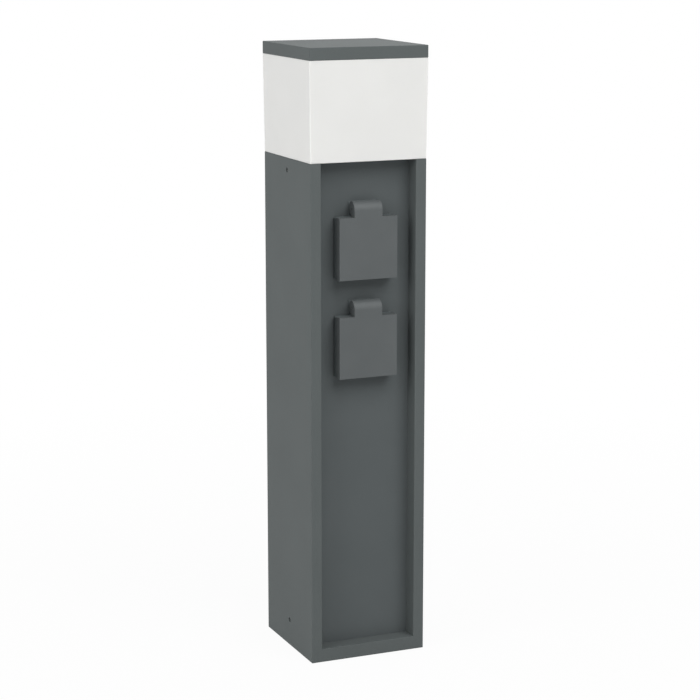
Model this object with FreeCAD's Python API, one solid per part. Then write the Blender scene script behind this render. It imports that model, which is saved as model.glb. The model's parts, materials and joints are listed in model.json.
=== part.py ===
import FreeCAD, Part
import math
import os

# Garden socket post: a square anthracite column with two lidded outlets in a recessed front,
# under an opal lantern.
# Millimetres, +Z up, front towards -Y. The origin is the centre of the foot, on the ground.

V = FreeCAD.Vector
OUT = "parts"
X_AXIS = V(1, 0, 0)
Y_AXIS = V(0, 1, 0)
Z_AXIS = V(0, 0, 1)
past = 1.0             # how far a cut runs past the faces it goes through

# General clearances
seat_gap = 0.3        # between a loose piece and its seat
thread_gap = 0.05     # radial, between a screw and its hole
running_gap = 0.05    # radial, between the hinge pin and the lid's eyes
pocket_gap = 0.2      # round a piece in a moulded pocket

# Column: an extruded profile with a recess in its front
column_width = 100.0
column_height = 410.0
column_wall = 2.5
column_edge_radius = 0.8
rim_width = 9.0       # the frame left standing on each side of the recess
rim_edge_radius = 0.6
sill_height = 11.0
recess_depth = 14.0
panel_thickness = 2.0
guide_thickness = 1.8  # rib behind the panel that holds it against the rims
guide_width = 3.0

# Side screws: one pair holds the column on its foot, one pair holds the lantern
side_screw_radius = 2.0
side_screw_length = 9.0
side_screw_sink = 0.9  # how far the head lies below the column's face
side_screw_socket = 2.0  # across flats
foot_screw_height = 22.0
lantern_screw_drop = 10.0  # below the top of the column

# Foot: a folded steel plate inside the column
foot_thickness = 4.0
foot_ear_thickness = 3.0
foot_ear_height = 34.0
foot_ear_width = 30.0
anchor_hole_radius = 3.5
anchor_spacing_x = 60.0
anchor_spacing_y = 50.0

# Cable entry bush in the foot
bush_bore_radius = 6.5
bush_wall = 1.8
bush_collar = 2.5
bush_collar_height = 2.0
bush_lift = 0.3        # the bush ends a little above the ground
cable_y = -4.0

# Outlets
outlet_pitch = 80.0
upper_outlet_drop = 69.5  # from the top of the column to the outlet's centre
flange_size = 50.0
flange_corner_radius = 1.2
flange_thickness = 5.0
flange_seal_thickness = 1.0
flange_seal_inset = 1.0
flange_screw_inset = 6.0
flange_screw_radius = 1.5
flange_screw_head_radius = 2.9
flange_screw_head_height = 1.7
flange_nut_flats = 5.5
flange_nut_height = 2.4
thread_end = 1.0         # screw left behind a nut
well_margin = 5.5         # between the well and the flange's edges
well_wall = 2.0
well_depth = 17.5
collar_height = 2.6   # the well's rim in front of the flange
mouth_flare = 0.3        # lead-in at the rim
mouth_depth = 4.0
key_width = 5.0       # the two ridges that key the plug
key_height = 1.2
insert_thickness = 3.0
insert_flange = 2.0
pin_hole_radius = 2.6
pin_spacing = 19.0
centre_screw_radius = 1.6
centre_screw_head_radius = 3.2
centre_screw_head_height = 1.9
centre_screw_length = 12.0
drive_depth = 0.8      # cross recess in a screw's head
drive_slot = 0.8
drive_reach = 0.58     # share of the head's radius

# Contacts behind the outlet
block_depth = 12.0
block_strip_gap = 1.0    # between the block and the earth strip's arms
block_corner_radius = 2.5
contact_wall = 0.9
contact_tube_length = 8.0
clamp_size = 7.0
clamp_depth = 9.0
clamp_screw_radius = 1.2
clamp_screw_head_radius = 2.1
clamp_screw_head_height = 1.4
slot_width = 0.6         # straight screwdriver slots
earth_strip_width = 5.0
earth_strip_thickness = 0.8
earth_arm_inset = 1.5     # from the well's wall to the middle of the strip
earth_arm_bulge = 1.8
earth_tip_lift = 0.6
earth_tip_sink = 1.0     # behind the well's lead-in
earth_arm_root = 1.0     # straight stretch in front of the floor

# Lids
lid_front_inset = 0.5   # the lid's face behind the column's front face
lid_gap = 0.2           # between the lid's rim and the flange
lid_face = 2.2
lid_skirt = 2.0
lid_edge_radius = 0.6
lid_seal_lip = 0.5        # the seal's ring outside the well's rim
lid_seal_reach = 1.6      # and inside it
lid_seal_clearance = 0.1  # between the seal and its groove's sides
lid_seal_groove = 0.8

# Hinge on top of each outlet
tab_width = 24.0
tab_height = 12.0        # above the flange
tab_round = 7.0
tab_cheek = 2.6
tab_wall = 1.8
tab_roof = 1.3           # behind the pin, round the knuckle
tab_roof_angle = 36.0    # how far the roof goes on behind the pin, from straight up
hinge_wall = 1.2         # upright behind the tab
hinge_pin_radius = 1.2
hinge_lug_radius = 2.6
hinge_lug_width = 7.0
hinge_axis_inset = 6.0   # from the lid's front face
pin_end_sink = 0.4
spring_wire_radius = 0.3
spring_mean_radius = 1.85
spring_length = 4.8      # of each coil, along the pin

# Lantern
lantern_height = 80.0
cap_height = 10.0
cap_overhang = 0.8       # the cap and the lantern's top beyond the column
diffuser_foot_inset = 0.1
diffuser_wall = 3.0
diffuser_corner_radius = 4.0
diffuser_flange_width = 4.5
diffuser_flange_thickness = 2.5
tray_thickness = 4.0
tray_seal_thickness = 1.0
tray_skirt_depth = 22.0
tray_skirt_wall = 3.0
screw_boss_radius = 5.0
screw_boss_length = 8.0
cap_top_thickness = 3.0
cap_skirt_wall = 3.2
cap_edge_radius = 0.5
cap_ridge_wall = 2.0
cap_ridge_drop = 2.5
cap_seal_size = 1.5
standoff_radius = 3.0
standoff_inset = 9.0
standoff_stud_radius = 2.0
standoff_stud_length = 5.0
standoff_screw_radius = 2.0
standoff_screw_length = 12.0
standoff_screw_head_radius = 3.6
standoff_screw_head_height = 2.4

# Light source
board_size = 60.0
board_thickness = 1.6
led_rows = 4
led_pitch = 13.0
led_width = 3.5
led_length = 2.8
led_height = 0.8
board_screw_radius = 1.5
board_screw_head_radius = 2.7
board_screw_head_height = 1.8
board_screw_inset = 4.0
link_width = 10.0
link_depth = 4.0
driver_length = 64.0
driver_width = 32.0
driver_height = 24.0
driver_ear = 8.0
driver_ear_thickness = 3.0
driver_corner_radius = 1.5
small_screw_bite = 2.5   # depth of the small screws in the tray

# Supply terminals on the foot
bracket_thickness = 2.0
bracket_width = 44.0
bracket_height = 66.0
bracket_foot = 16.0
terminal_width = 32.0
terminal_depth = 14.0
terminal_height = 20.0
terminal_drop = 5.0      # below the bracket's top
terminal_screw_radius = 1.8
terminal_screw_depth = 3.0
terminal_screw_sink = 1.0
terminal_groove_width = 1.0
terminal_groove_depth = 2.0
terminal_fixing_depth = 3.5
bracket_screw_radius = 2.0
bracket_screw_head_radius = 3.5
bracket_screw_head_height = 2.2
clamp_strap_thickness = 1.5
clamp_strap_width = 9.0
clamp_strap_height = 22.0
clamp_strap_wing = 8.0
earth_stud_radius = 2.5
earth_stud_height = 14.0
earth_stud_x = 28.0
earth_stud_y = 16.0
earth_nut_flats = 8.0
earth_nut_height = 4.0
earth_lug_radius = 5.0
earth_lug_thickness = 1.0
earth_sleeve_length = 8.0
earth_sleeve_wall = 0.6

# Wires
wire_radius = 1.2
wire_straight = 30.0     # straight ends of the supply wires
wire_slack = 6.0         # how far they bow out on the way
bond_offset = 12.5       # where the earth bond leaves the terminals
bond_drop = 9.0
bond_bow = 4.0           # how far the bond stands in front of the terminals

# Places that follow from the sizes
half = column_width / 2
front_y = -half
panel_y = front_y + recess_depth              # the panel's front face
panel_back_y = panel_y + panel_thickness
guide_y = panel_back_y + seat_gap             # front of the guide ribs
inner_half = half - column_wall
recess_half = half - rim_width
upper_outlet_height = column_height - upper_outlet_drop
lower_outlet_height = upper_outlet_height - outlet_pitch
outlets = {"upper": upper_outlet_height, "lower": lower_outlet_height}

flange_half = flange_size / 2
screw_half = flange_half - flange_screw_inset
flange_back_y = panel_y - flange_seal_thickness
flange_y = flange_back_y - flange_thickness   # the flange's front face
collar_y = flange_y - collar_height
floor_y = collar_y + well_depth               # the well's floor
insert_y = floor_y + insert_thickness         # back end of the well's tube
block_y = insert_y + insert_flange            # front of the contact block
block_back_y = block_y + block_depth
well_radius = flange_half - well_margin
mouth_radius = well_radius + mouth_flare
tube_radius = well_radius + well_wall
earth_arm_height = well_radius - earth_arm_inset  # from the outlet's centre to the strip's middle
block_half = earth_arm_height - earth_strip_thickness / 2 - block_strip_gap
contact_x = pin_spacing / 2
contact_radius = pin_hole_radius + contact_wall
clamp_y = block_y + contact_tube_length       # front of the screw clamps
clamp_back_y = clamp_y + clamp_depth
wire_y = clamp_back_y - clamp_depth / 4

lid_y = front_y + lid_front_inset             # the lid's front face
lid_back_y = flange_y - lid_gap
lid_inner_y = lid_y + lid_face
lid_seal_outer = tube_radius + lid_seal_lip
lid_seal_inner = mouth_radius - lid_seal_reach
seal_groove_y = lid_inner_y - lid_seal_groove
axis_y = lid_y + hinge_axis_inset
hinge_wall_back_y = panel_y - seat_gap
hinge_wall_y = hinge_wall_back_y - hinge_wall
knuckle_radius = hinge_wall_y - seat_gap - axis_y
tab_top = flange_half + tab_height
axis_z = tab_top - knuckle_radius             # above the outlet's centre
tab_half = tab_width / 2
cheek_inner = tab_half - tab_cheek
pedestal_top = axis_z - knuckle_radius - seat_gap
arc_y = lid_y + tab_round                     # centre of the tab's round front
arc_z = tab_top - tab_round

cap_z = column_height + lantern_height
top_z = cap_z + cap_height
tray_top = column_height + tray_thickness
cap_half = half + cap_overhang
foot_front_y = guide_y + guide_thickness + seat_gap
foot_half = inner_half - seat_gap
foot_centre_y = (foot_front_y + foot_half) / 2
skirt_bottom = column_height - tray_skirt_depth
bracket_y = cable_y + bush_bore_radius + seat_gap
bracket_top = foot_thickness + bracket_height
terminal_top = bracket_top - terminal_drop
terminal_y = bracket_y - terminal_depth
tray_half = half - diffuser_foot_inset - diffuser_wall - seat_gap
inner_corner_radius = diffuser_corner_radius - diffuser_wall


def box(x0, x1, y0, y1, z0, z1):
    """A block between two corners."""
    return Part.makeBox(x1 - x0, y1 - y0, z1 - z0, V(x0, y0, z0))


def rod(radius, start, direction, length):
    """A round bar from a point along a direction."""
    return Part.makeCylinder(radius, length, start, direction)


def drill(radius, start, direction, length):
    """A round cut that runs a little past both of its ends."""
    return rod(radius, start - direction * past, direction, length + 2 * past)


def ring(outer, inner, y0, y1):
    """A flat ring round an axis along Y."""
    return rod(outer, V(0, y0, 0), Y_AXIS, y1 - y0).cut(drill(inner, V(0, y0, 0), Y_AXIS, y1 - y0))


def joined(shapes):
    """One solid from several that touch or overlap."""
    shape = shapes[0].fuse(shapes[1:]) if len(shapes) > 1 else shapes[0]
    return shape.removeSplitter()


def group(shapes):
    """Separate solids that share one file."""
    return Part.makeCompound(shapes)


def hexagon(flats, start, direction, length):
    """A six-sided bar, as for a nut or a key socket."""
    reach = flats / math.sqrt(3)
    angles = [math.radians(60 * k) for k in range(7)]
    corners = [V(reach * math.cos(a), reach * math.sin(a), 0) for a in angles]
    bar = Part.Face(Part.makePolygon(corners)).extrude(V(0, 0, length))
    bar.Placement = FreeCAD.Placement(start, FreeCAD.Rotation(Z_AXIS, direction))
    return bar


def cross_cut(x, y, z, head_radius):
    """The cross-shaped recess of a screw whose head faces forward."""
    reach = drive_reach * head_radius
    narrow = drive_slot / 2
    flat = box(x - reach, x + reach, y - past, y + drive_depth, z - narrow, z + narrow)
    upright = box(x - narrow, x + narrow, y - past, y + drive_depth, z - reach, z + reach)
    return joined([flat, upright])


def slot_cut(x, y0, y1, z, head_radius):
    """The straight slot of a screw whose head faces forward or back."""
    return box(x - head_radius, x + head_radius, y0, y1, z - slot_width / 2, z + slot_width / 2)


def mirrored_x(shape):
    """The same piece on the other side of the post."""
    return shape.mirror(V(0, 0, 0), X_AXIS)


def rounded_square(half_width, radius, z):
    """A closed square outline with round corners, level at a height."""
    flat = half_width - radius
    slant = radius * math.sqrt(0.5)
    edges = []
    for k in range(4):
        turn = FreeCAD.Rotation(Z_AXIS, 90 * k)

        def at(x, y):
            return turn.multVec(V(x, y, 0)) + V(0, 0, z)

        edges.append(Part.makeLine(at(half_width, -flat), at(half_width, flat)))
        edges.append(
            Part.Arc(at(half_width, flat), at(flat + slant, flat + slant), at(flat, half_width)).toShape()
        )
    return Part.Wire(edges)


def tapered_square(half_bottom, half_top, radius, z0, z1):
    """A square block with round corners whose sides lean."""
    outlines = [rounded_square(half_bottom, radius, z0), rounded_square(half_top, radius, z1)]
    return Part.makeLoft(outlines, True, True)


def rounded_block(half_width, radius, z0, z1):
    """A square block with round upright corners."""
    return Part.Face(rounded_square(half_width, radius, z0)).extrude(V(0, 0, z1 - z0))


def frame(outer_half, outer_radius, inner_half_width, inner_radius, z0, z1):
    """A square frame with round corners, inside and out."""
    hole = rounded_block(inner_half_width, inner_radius, z0 - past, z1 + past)
    return rounded_block(outer_half, outer_radius, z0, z1).cut(hole)


def edges_where(shape, test):
    """The edges whose every sampled point passes a test."""
    found = []
    for edge in shape.Edges:
        first, last = edge.ParameterRange
        points = [edge.valueAt(first + (last - first) * k / 4) for k in range(5)]
        if all(test(p) for p in points):
            found.append(edge)
    return found


def near(a, b):
    """Equal to within a hundredth of a millimetre."""
    return abs(a - b) < 0.01


def bent_tube(points, radius):
    """A round wire along straight runs that are joined by arcs as large as the runs allow."""
    edges = []
    start = points[0]
    for before, corner, after in zip(points, points[1:], points[2:]):
        arriving = (corner - before).normalize()
        leaving = (after - corner).normalize()
        turn = arriving.getAngle(leaving)
        reach = 0.45 * min((corner - before).Length, (after - corner).Length)
        bend = reach / math.tan(turn / 2)
        arc_start = corner - arriving * reach
        arc_end = corner + leaving * reach
        inward = (leaving - arriving).normalize()
        middle = corner + inward * (bend / math.cos(turn / 2) - bend)
        edges.append(Part.makeLine(start, arc_start))
        edges.append(Part.Arc(arc_start, middle, arc_end).toShape())
        start = arc_end
    edges.append(Part.makeLine(start, points[-1]))
    path = Part.Wire(edges)
    section = Part.Wire([Part.makeCircle(radius, points[0], points[1] - points[0])])
    tube = path.makePipeShell([section], True, False)
    length = sum(e.Length for e in edges)
    share = tube.Volume / (math.pi * radius**2 * length)
    print(f"wire of {length:.1f} mm: volume over section times length {share:.4f}")
    return tube


def column_shell():
    """The extruded post: four walls, hollow rims beside the recess, a sill and ribs behind the panel."""
    outer = box(-half, half, -half, half, 0, column_height)
    corners = edges_where(outer, lambda p: near(abs(p.x), half) and near(abs(p.y), half))
    outer = outer.makeFillet(column_edge_radius, corners)
    top = column_height + past
    front_inner_y = front_y + column_wall
    hollow = box(-inner_half, inner_half, front_inner_y, inner_half, -past, top)
    mouth = box(-recess_half, recess_half, front_y - past, front_inner_y + past, sill_height, top)
    shell = outer.cut(hollow).cut(mouth)
    jamb = box(recess_half, recess_half + column_wall, front_inner_y, panel_y, 0, column_height)
    guide_back_y = guide_y + guide_thickness
    guide = box(inner_half - guide_width, inner_half, guide_y, guide_back_y, 0, column_height)
    ledge_z = sill_height - column_wall
    ledge = box(-inner_half, inner_half, front_inner_y, guide_back_y, ledge_z, sill_height)
    shell = joined([shell, jamb, mirrored_x(jamb), guide, mirrored_x(guide), ledge])
    shell = shell.makeFillet(rim_edge_radius, edges_where(shell, on_recess_lip))
    for height in side_screw_heights():
        shell = shell.cut(drill(side_screw_radius + thread_gap, V(-half, 0, height), X_AXIS, column_width))
    return shell


def on_recess_lip(p):
    """True on the front edges of the recess: both rims and the sill."""
    on_rim = near(abs(p.x), recess_half) and (p.z > sill_height or near(p.z, sill_height))
    on_sill = near(p.z, sill_height) and (abs(p.x) < recess_half or near(abs(p.x), recess_half))
    return near(p.y, front_y) and (on_rim or on_sill)


def side_screw_heights():
    """The two levels of the screws through the column's sides."""
    return [foot_screw_height, column_height - lantern_screw_drop]


def side_screws():
    """Four grub screws with a key socket, sunk a little below the column's face."""
    screws = []
    for height in side_screw_heights():
        head_x = half - side_screw_sink
        screw = rod(side_screw_radius, V(head_x, 0, height), -X_AXIS, side_screw_length)
        outside = V(head_x + past, 0, height)
        socket = hexagon(side_screw_socket, outside, -X_AXIS, past + side_screw_length / 3)
        screw = screw.cut(socket)
        screws += [screw, mirrored_x(screw)]
    return group(screws)


def front_panel():
    """The flat panel at the back of the recess, which stands on the sill and carries the outlets."""
    panel_half = inner_half - seat_gap
    panel = box(-panel_half, panel_half, panel_y, panel_back_y, sill_height, column_height - seat_gap)
    for height in outlets.values():
        panel = panel.cut(drill(tube_radius + seat_gap, V(0, panel_y, height), Y_AXIS, panel_thickness))
        for x, z in flange_screw_places():
            place = V(x, panel_y, height + z)
            panel = panel.cut(drill(flange_screw_radius + thread_gap, place, Y_AXIS, panel_thickness))
    return panel


def foot_plate():
    """The steel foot: a plate on the ground with two threaded ears inside the column's sides."""
    plate = box(-foot_half, foot_half, foot_front_y, foot_half, 0, foot_thickness)
    ear_half = foot_ear_width / 2
    ear = box(foot_half - foot_ear_thickness, foot_half, -ear_half, ear_half, 0, foot_ear_height)
    plate = joined([plate, ear, mirrored_x(ear)])
    for x in (-anchor_spacing_x / 2, anchor_spacing_x / 2):
        for y in (-anchor_spacing_y / 2, anchor_spacing_y / 2):
            place = V(x, foot_centre_y + y, 0)
            plate = plate.cut(drill(anchor_hole_radius, place, Z_AXIS, foot_thickness))
    side_hole = drill(side_screw_radius + thread_gap, V(-half, 0, foot_screw_height), X_AXIS, column_width)
    plate = plate.cut(side_hole)
    plate = plate.cut(drill(bush_bore_radius + bush_wall, V(0, cable_y, 0), Z_AXIS, foot_thickness))
    plate = plate.cut(drill(earth_stud_radius, V(earth_stud_x, earth_stud_y, 0), Z_AXIS, foot_thickness))
    for x in bracket_screw_xs():
        plate = plate.cut(drill(bracket_screw_radius, V(x, bracket_screw_y(), 0), Z_AXIS, foot_thickness))
    return plate


def cable_bush():
    """The rubber bush that lines the cable hole in the foot."""
    sleeve_radius = bush_bore_radius + bush_wall
    height = foot_thickness + bush_collar_height
    sleeve = rod(sleeve_radius, V(0, cable_y, bush_lift), Z_AXIS, foot_thickness - bush_lift)
    collar = rod(sleeve_radius + bush_collar, V(0, cable_y, foot_thickness), Z_AXIS, bush_collar_height)
    # flat at the back, where the terminal bracket stands
    collar = collar.cut(box(-half, half, bracket_y, half, 0, height + past))
    return joined([sleeve, collar]).cut(drill(bush_bore_radius, V(0, cable_y, 0), Z_AXIS, height))


def flange_screw_places():
    """Centres of the four screws of an outlet, from the outlet's centre."""
    return [(x, z) for x in (-screw_half, screw_half) for z in (-screw_half, screw_half)]


def flange_seal():
    """The thin gasket between an outlet's flange and the panel."""
    edge = flange_half - flange_seal_inset
    seal = box(-edge, edge, flange_back_y, panel_y, -edge, edge)
    seal = seal.cut(drill(tube_radius + seat_gap, V(0, flange_back_y, 0), Y_AXIS, flange_seal_thickness))
    for x, z in flange_screw_places():
        place = V(x, flange_back_y, z)
        seal = seal.cut(drill(flange_screw_radius + thread_gap, place, Y_AXIS, flange_seal_thickness))
    return seal


def hinge_lug():
    """The upright behind the tab, its pedestal and the lug that holds the pin."""
    wall_bottom = flange_half - flange_seal_inset + seat_gap
    wall = box(-tab_half, tab_half, hinge_wall_y, hinge_wall_back_y, wall_bottom, tab_top)
    pedestal = box(-tab_half, tab_half, flange_y, hinge_wall_back_y, wall_bottom, pedestal_top)
    lug_half = hinge_lug_width / 2
    eye = rod(hinge_lug_radius, V(-lug_half, axis_y, axis_z), X_AXIS, hinge_lug_width)
    # the web runs from the eye's sides down to the pedestal
    corners = [
        V(-lug_half, axis_y + hinge_lug_radius, axis_z),
        V(-lug_half, axis_y + hinge_lug_radius + seat_gap, pedestal_top),
        V(-lug_half, flange_y, pedestal_top),
        V(-lug_half, axis_y - hinge_lug_radius, axis_z),
    ]
    web = Part.Face(Part.makePolygon(corners + corners[:1])).extrude(V(hinge_lug_width, 0, 0))
    return [wall, pedestal, eye, web]


def outlet_body():
    """The moulded flange with the plug's well, its raised rim and the hinge on top."""
    flange = box(-flange_half, flange_half, flange_y, flange_back_y, -flange_half, flange_half)
    corners = edges_where(flange, lambda p: near(abs(p.x), flange_half) and near(abs(p.z), flange_half))
    flange = flange.makeFillet(flange_corner_radius, corners)
    tube_length = insert_y - collar_y
    tube = rod(tube_radius, V(0, collar_y, 0), Y_AXIS, tube_length)
    body = joined([flange, tube] + hinge_lug())
    body = body.cut(drill(well_radius, V(0, collar_y, 0), Y_AXIS, tube_length))
    body = body.cut(rod(mouth_radius, V(0, collar_y - past, 0), Y_AXIS, mouth_depth + past))
    key_outer = well_radius + well_wall / 2
    key_y = collar_y + mouth_depth
    key = box(well_radius - key_height, key_outer, key_y, floor_y, -key_width / 2, key_width / 2)
    body = joined([body, key, mirrored_x(key)])
    for x, z in flange_screw_places():
        place = V(x, flange_y, z)
        body = body.cut(drill(flange_screw_radius + thread_gap, place, Y_AXIS, flange_thickness))
        seat = countersink(place, flange_screw_head_radius, flange_screw_radius, flange_screw_head_height)
        body = body.cut(seat)
    return body.cut(drill(hinge_pin_radius, V(-tab_half, axis_y, axis_z), X_AXIS, tab_width))


def countersink(place, head_radius, shank_radius, height):
    """The tapered head of a screw that goes in from the front, and its seat."""
    return Part.makeCone(head_radius, shank_radius, height, place, Y_AXIS)


def outlet_insert():
    """The well's floor, pushed in from behind, with the pin holes and the slots for the earth clip."""
    disc = rod(well_radius - pocket_gap, V(0, floor_y, 0), Y_AXIS, insert_thickness)
    rim = rod(tube_radius, V(0, insert_y, 0), Y_AXIS, insert_flange)
    insert = joined([disc, rim])
    depth = block_y - floor_y
    for x in (-contact_x, contact_x):
        insert = insert.cut(drill(pin_hole_radius, V(x, floor_y, 0), Y_AXIS, depth))
    middle = V(0, floor_y, 0)
    insert = insert.cut(drill(centre_screw_radius + thread_gap, middle, Y_AXIS, depth))
    seat = countersink(middle, centre_screw_head_radius, centre_screw_radius, centre_screw_head_height)
    insert = insert.cut(seat)
    slot_half = earth_strip_width / 2 + pocket_gap
    slot_low = earth_arm_height - earth_strip_thickness / 2 - pocket_gap
    slot = box(-slot_half, slot_half, floor_y - past, block_y + past, slot_low, tube_radius + past)
    return insert.cut(slot).cut(slot.mirror(V(0, 0, 0), Z_AXIS))


def contact_block():
    """The insulating block behind the insert, with pockets for the contacts."""
    block = box(-block_half, block_half, block_y, block_back_y, -block_half, block_half)
    corners = edges_where(block, lambda p: near(abs(p.x), block_half) and near(abs(p.z), block_half))
    block = block.makeFillet(block_corner_radius, corners)
    reach = clamp_size / 2 + pocket_gap
    for x in (-contact_x, contact_x):
        block = block.cut(drill(contact_radius + pocket_gap, V(x, block_y, 0), Y_AXIS, block_depth))
        block = block.cut(box(x - reach, x + reach, clamp_y, block_back_y + past, -reach, reach))
    return block.cut(drill(centre_screw_radius, V(0, block_y, 0), Y_AXIS, block_depth))


def screw_clamp(x):
    """A brass clamp with a hole for its screw and one for the wire, which runs up and down."""
    side = clamp_size / 2
    clamp = box(x - side, x + side, clamp_y, clamp_back_y, -side, side)
    return clamp.cut(rod(clamp_screw_radius, V(x, wire_y + wire_radius, 0), Y_AXIS, clamp_depth))


def contacts():
    """The two spring sleeves that grip the plug's pins, each with its screw clamp."""
    made = []
    for x in (-contact_x, contact_x):
        sleeve = rod(contact_radius, V(x, block_y, 0), Y_AXIS, contact_tube_length)
        bore = rod(pin_hole_radius, V(x, block_y - past, 0), Y_AXIS, contact_tube_length + past)
        made.append(joined([sleeve, screw_clamp(x)]).cut(bore))
    return group(made)


def clamp_screws():
    """The screws that hold the three wires of an outlet."""
    made = []
    length = clamp_back_y - wire_y - wire_radius
    head_y = clamp_back_y + clamp_screw_head_height
    for x in (-contact_x, 0, contact_x):
        shank = rod(clamp_screw_radius, V(x, wire_y + wire_radius, 0), Y_AXIS, length)
        head = rod(clamp_screw_head_radius, V(x, clamp_back_y, 0), Y_AXIS, clamp_screw_head_height)
        slot = slot_cut(x, head_y - clamp_screw_head_height / 2, head_y + past, 0, clamp_screw_head_radius)
        made.append(joined([shank, head]).cut(slot))
    return group(made)


def earth_clip():
    """One bent strip with an arm at the top and bottom of the well, and a wire clamp behind the block."""
    inner = earth_arm_height - earth_strip_thickness / 2
    bridge_y = block_back_y + earth_strip_thickness
    tip_y = collar_y + mouth_depth + earth_tip_sink
    root_y = floor_y - earth_arm_root
    bulge_y = (tip_y + floor_y) / 2
    line = [
        (bridge_y, inner + earth_strip_thickness),
        (root_y, inner + earth_strip_thickness),
        (bulge_y, inner - earth_arm_bulge + earth_strip_thickness),
        (tip_y, inner + earth_tip_lift),
        (tip_y, inner + earth_tip_lift - earth_strip_thickness),
        (bulge_y, inner - earth_arm_bulge),
        (root_y, inner),
        (block_back_y, inner),
    ]
    corners = [V(-earth_strip_width / 2, y, z) for y, z in line]
    corners += [V(-earth_strip_width / 2, y, -z) for y, z in reversed(line)]
    strip = Part.Face(Part.makePolygon(corners + corners[:1])).extrude(V(earth_strip_width, 0, 0))
    clamp = box(-clamp_size / 2, clamp_size / 2, bridge_y, clamp_back_y, -clamp_size / 2, clamp_size / 2)
    clamp = clamp.cut(rod(clamp_screw_radius, V(0, wire_y + wire_radius, 0), Y_AXIS, clamp_depth))
    return joined([strip, clamp])


def centre_screw():
    """The countersunk screw in the middle of the well, which draws the block against the insert."""
    return countersunk_screw(
        V(0, floor_y, 0),
        centre_screw_head_radius,
        centre_screw_radius,
        centre_screw_head_height,
        centre_screw_length,
    )


def countersunk_screw(place, head_radius, radius, head_height, length):
    """A screw that goes in from the front, with a cross recess in its flush head."""
    head = countersink(place, head_radius, radius, head_height)
    shank = rod(radius, place + Y_AXIS * head_height, Y_AXIS, length - head_height)
    return joined([head, shank]).cut(cross_cut(place.x, place.y, place.z, head_radius))


def flange_screws():
    """The four countersunk screws that hold an outlet on the panel."""
    length = panel_back_y + flange_nut_height + thread_end - flange_y
    sizes = (flange_screw_head_radius, flange_screw_radius, flange_screw_head_height, length)
    return group([countersunk_screw(V(x, flange_y, z), *sizes) for x, z in flange_screw_places()])


def flange_nuts():
    """The nuts of the outlet's screws, behind the panel."""
    made = []
    for x, z in flange_screw_places():
        place = V(x, panel_back_y, z)
        nut = hexagon(flange_nut_flats, place, Y_AXIS, flange_nut_height)
        made.append(nut.cut(drill(flange_screw_radius, place, Y_AXIS, flange_nut_height)))
    return group(made)


def lid():
    """The hinged lid: a shallow tray whose face runs up into the rounded tab over the hinge pin."""
    tray = box(-flange_half, flange_half, lid_y, lid_back_y, -flange_half, flange_half)
    tab = box(-tab_half, tab_half, lid_y, axis_y, 0, tab_top)
    neck = box(-tab_half, tab_half, axis_y, lid_back_y, 0, axis_z)
    knuckle = rod(knuckle_radius, V(-tab_half, axis_y, axis_z), X_AXIS, tab_width)
    shape = joined([joined([tray, tab, neck, knuckle]).common(tab_side_view())])
    front = edges_where(shape, lambda p: near(p.y, lid_y) and not near(p.z, arc_z))
    shape = shape.makeFillet(lid_edge_radius, front + edges_where(shape, on_tab_arc))
    inside = flange_half - lid_skirt
    shape = shape.cut(box(-inside, inside, lid_inner_y, half, -inside, inside))
    shape = shape.cut(tab_cavity())
    shape = shape.cut(ring(lid_seal_outer, lid_seal_inner, seal_groove_y, lid_back_y))
    return shape.cut(drill(hinge_pin_radius + running_gap, V(-tab_half, axis_y, axis_z), X_AXIS, tab_width))


def on_tab_arc(p):
    """True on the two side edges of the tab's round front."""
    from_centre = math.hypot(p.y - arc_y, p.z - arc_z)
    above = p.z > arc_z or near(p.z, arc_z)
    return near(abs(p.x), tab_half) and above and p.y < arc_y and near(from_centre, tab_round)


def tab_side_view():
    """Everything that lies behind the lid's face and the tab's round front, right across the post."""
    slant = tab_round * math.sqrt(0.5)
    low = -flange_half - past
    corners = [
        V(-half, arc_y, tab_top),
        V(-half, half, tab_top),
        V(-half, half, low),
        V(-half, lid_y, low),
        V(-half, lid_y, arc_z),
    ]
    lines = [Part.makeLine(a, b) for a, b in zip(corners, corners[1:])]
    round_front = Part.Arc(corners[-1], V(-half, arc_y - slant, arc_z + slant), corners[0]).toShape()
    return Part.Face(Part.Wire(lines + [round_front])).extrude(V(column_width, 0, 0))


def tab_cavity():
    """The hollow of the tab, in which the lug and the springs sit: roofed over the pin and open behind."""
    width = 2 * cheek_inner
    hollow = box(-cheek_inner, cheek_inner, lid_y + tab_wall, axis_y, flange_half, arc_z)
    bow = rod(tab_round - tab_wall, V(-cheek_inner, arc_y, arc_z), X_AXIS, width)
    bow = bow.cut(box(-half, half, front_y, half, 0, axis_z - knuckle_radius))
    roof = rod(knuckle_radius - tab_roof, V(-cheek_inner, axis_y, axis_z), X_AXIS, width)
    roof = roof.cut(box(-half, half, front_y, axis_y, 0, tab_top))
    # the open back, from the end of the roof round to straight down
    reach = 2 * knuckle_radius
    lean = math.radians(tab_roof_angle)
    corners = [
        V(-cheek_inner, axis_y, axis_z),
        V(-cheek_inner, axis_y + reach * math.sin(lean), axis_z + reach * math.cos(lean)),
        V(-cheek_inner, axis_y + 2 * reach, axis_z + reach * math.cos(lean)),
        V(-cheek_inner, axis_y + 2 * reach, flange_half),
        V(-cheek_inner, axis_y, flange_half),
    ]
    back = Part.Face(Part.makePolygon(corners + corners[:1])).extrude(V(width, 0, 0))
    return joined([hollow, bow, roof, back])


def lid_seal():
    """The rubber ring in the lid that closes on the well's rim."""
    outer = lid_seal_outer - lid_seal_clearance
    inner = lid_seal_inner + lid_seal_clearance
    return ring(outer, inner, seal_groove_y, collar_y - seat_gap)


def hinge_pin():
    """The steel pin through the lid's two cheeks and the lug."""
    length = tab_width - 2 * pin_end_sink
    return rod(hinge_pin_radius, V(-length / 2, axis_y, axis_z), X_AXIS, length)


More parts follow.
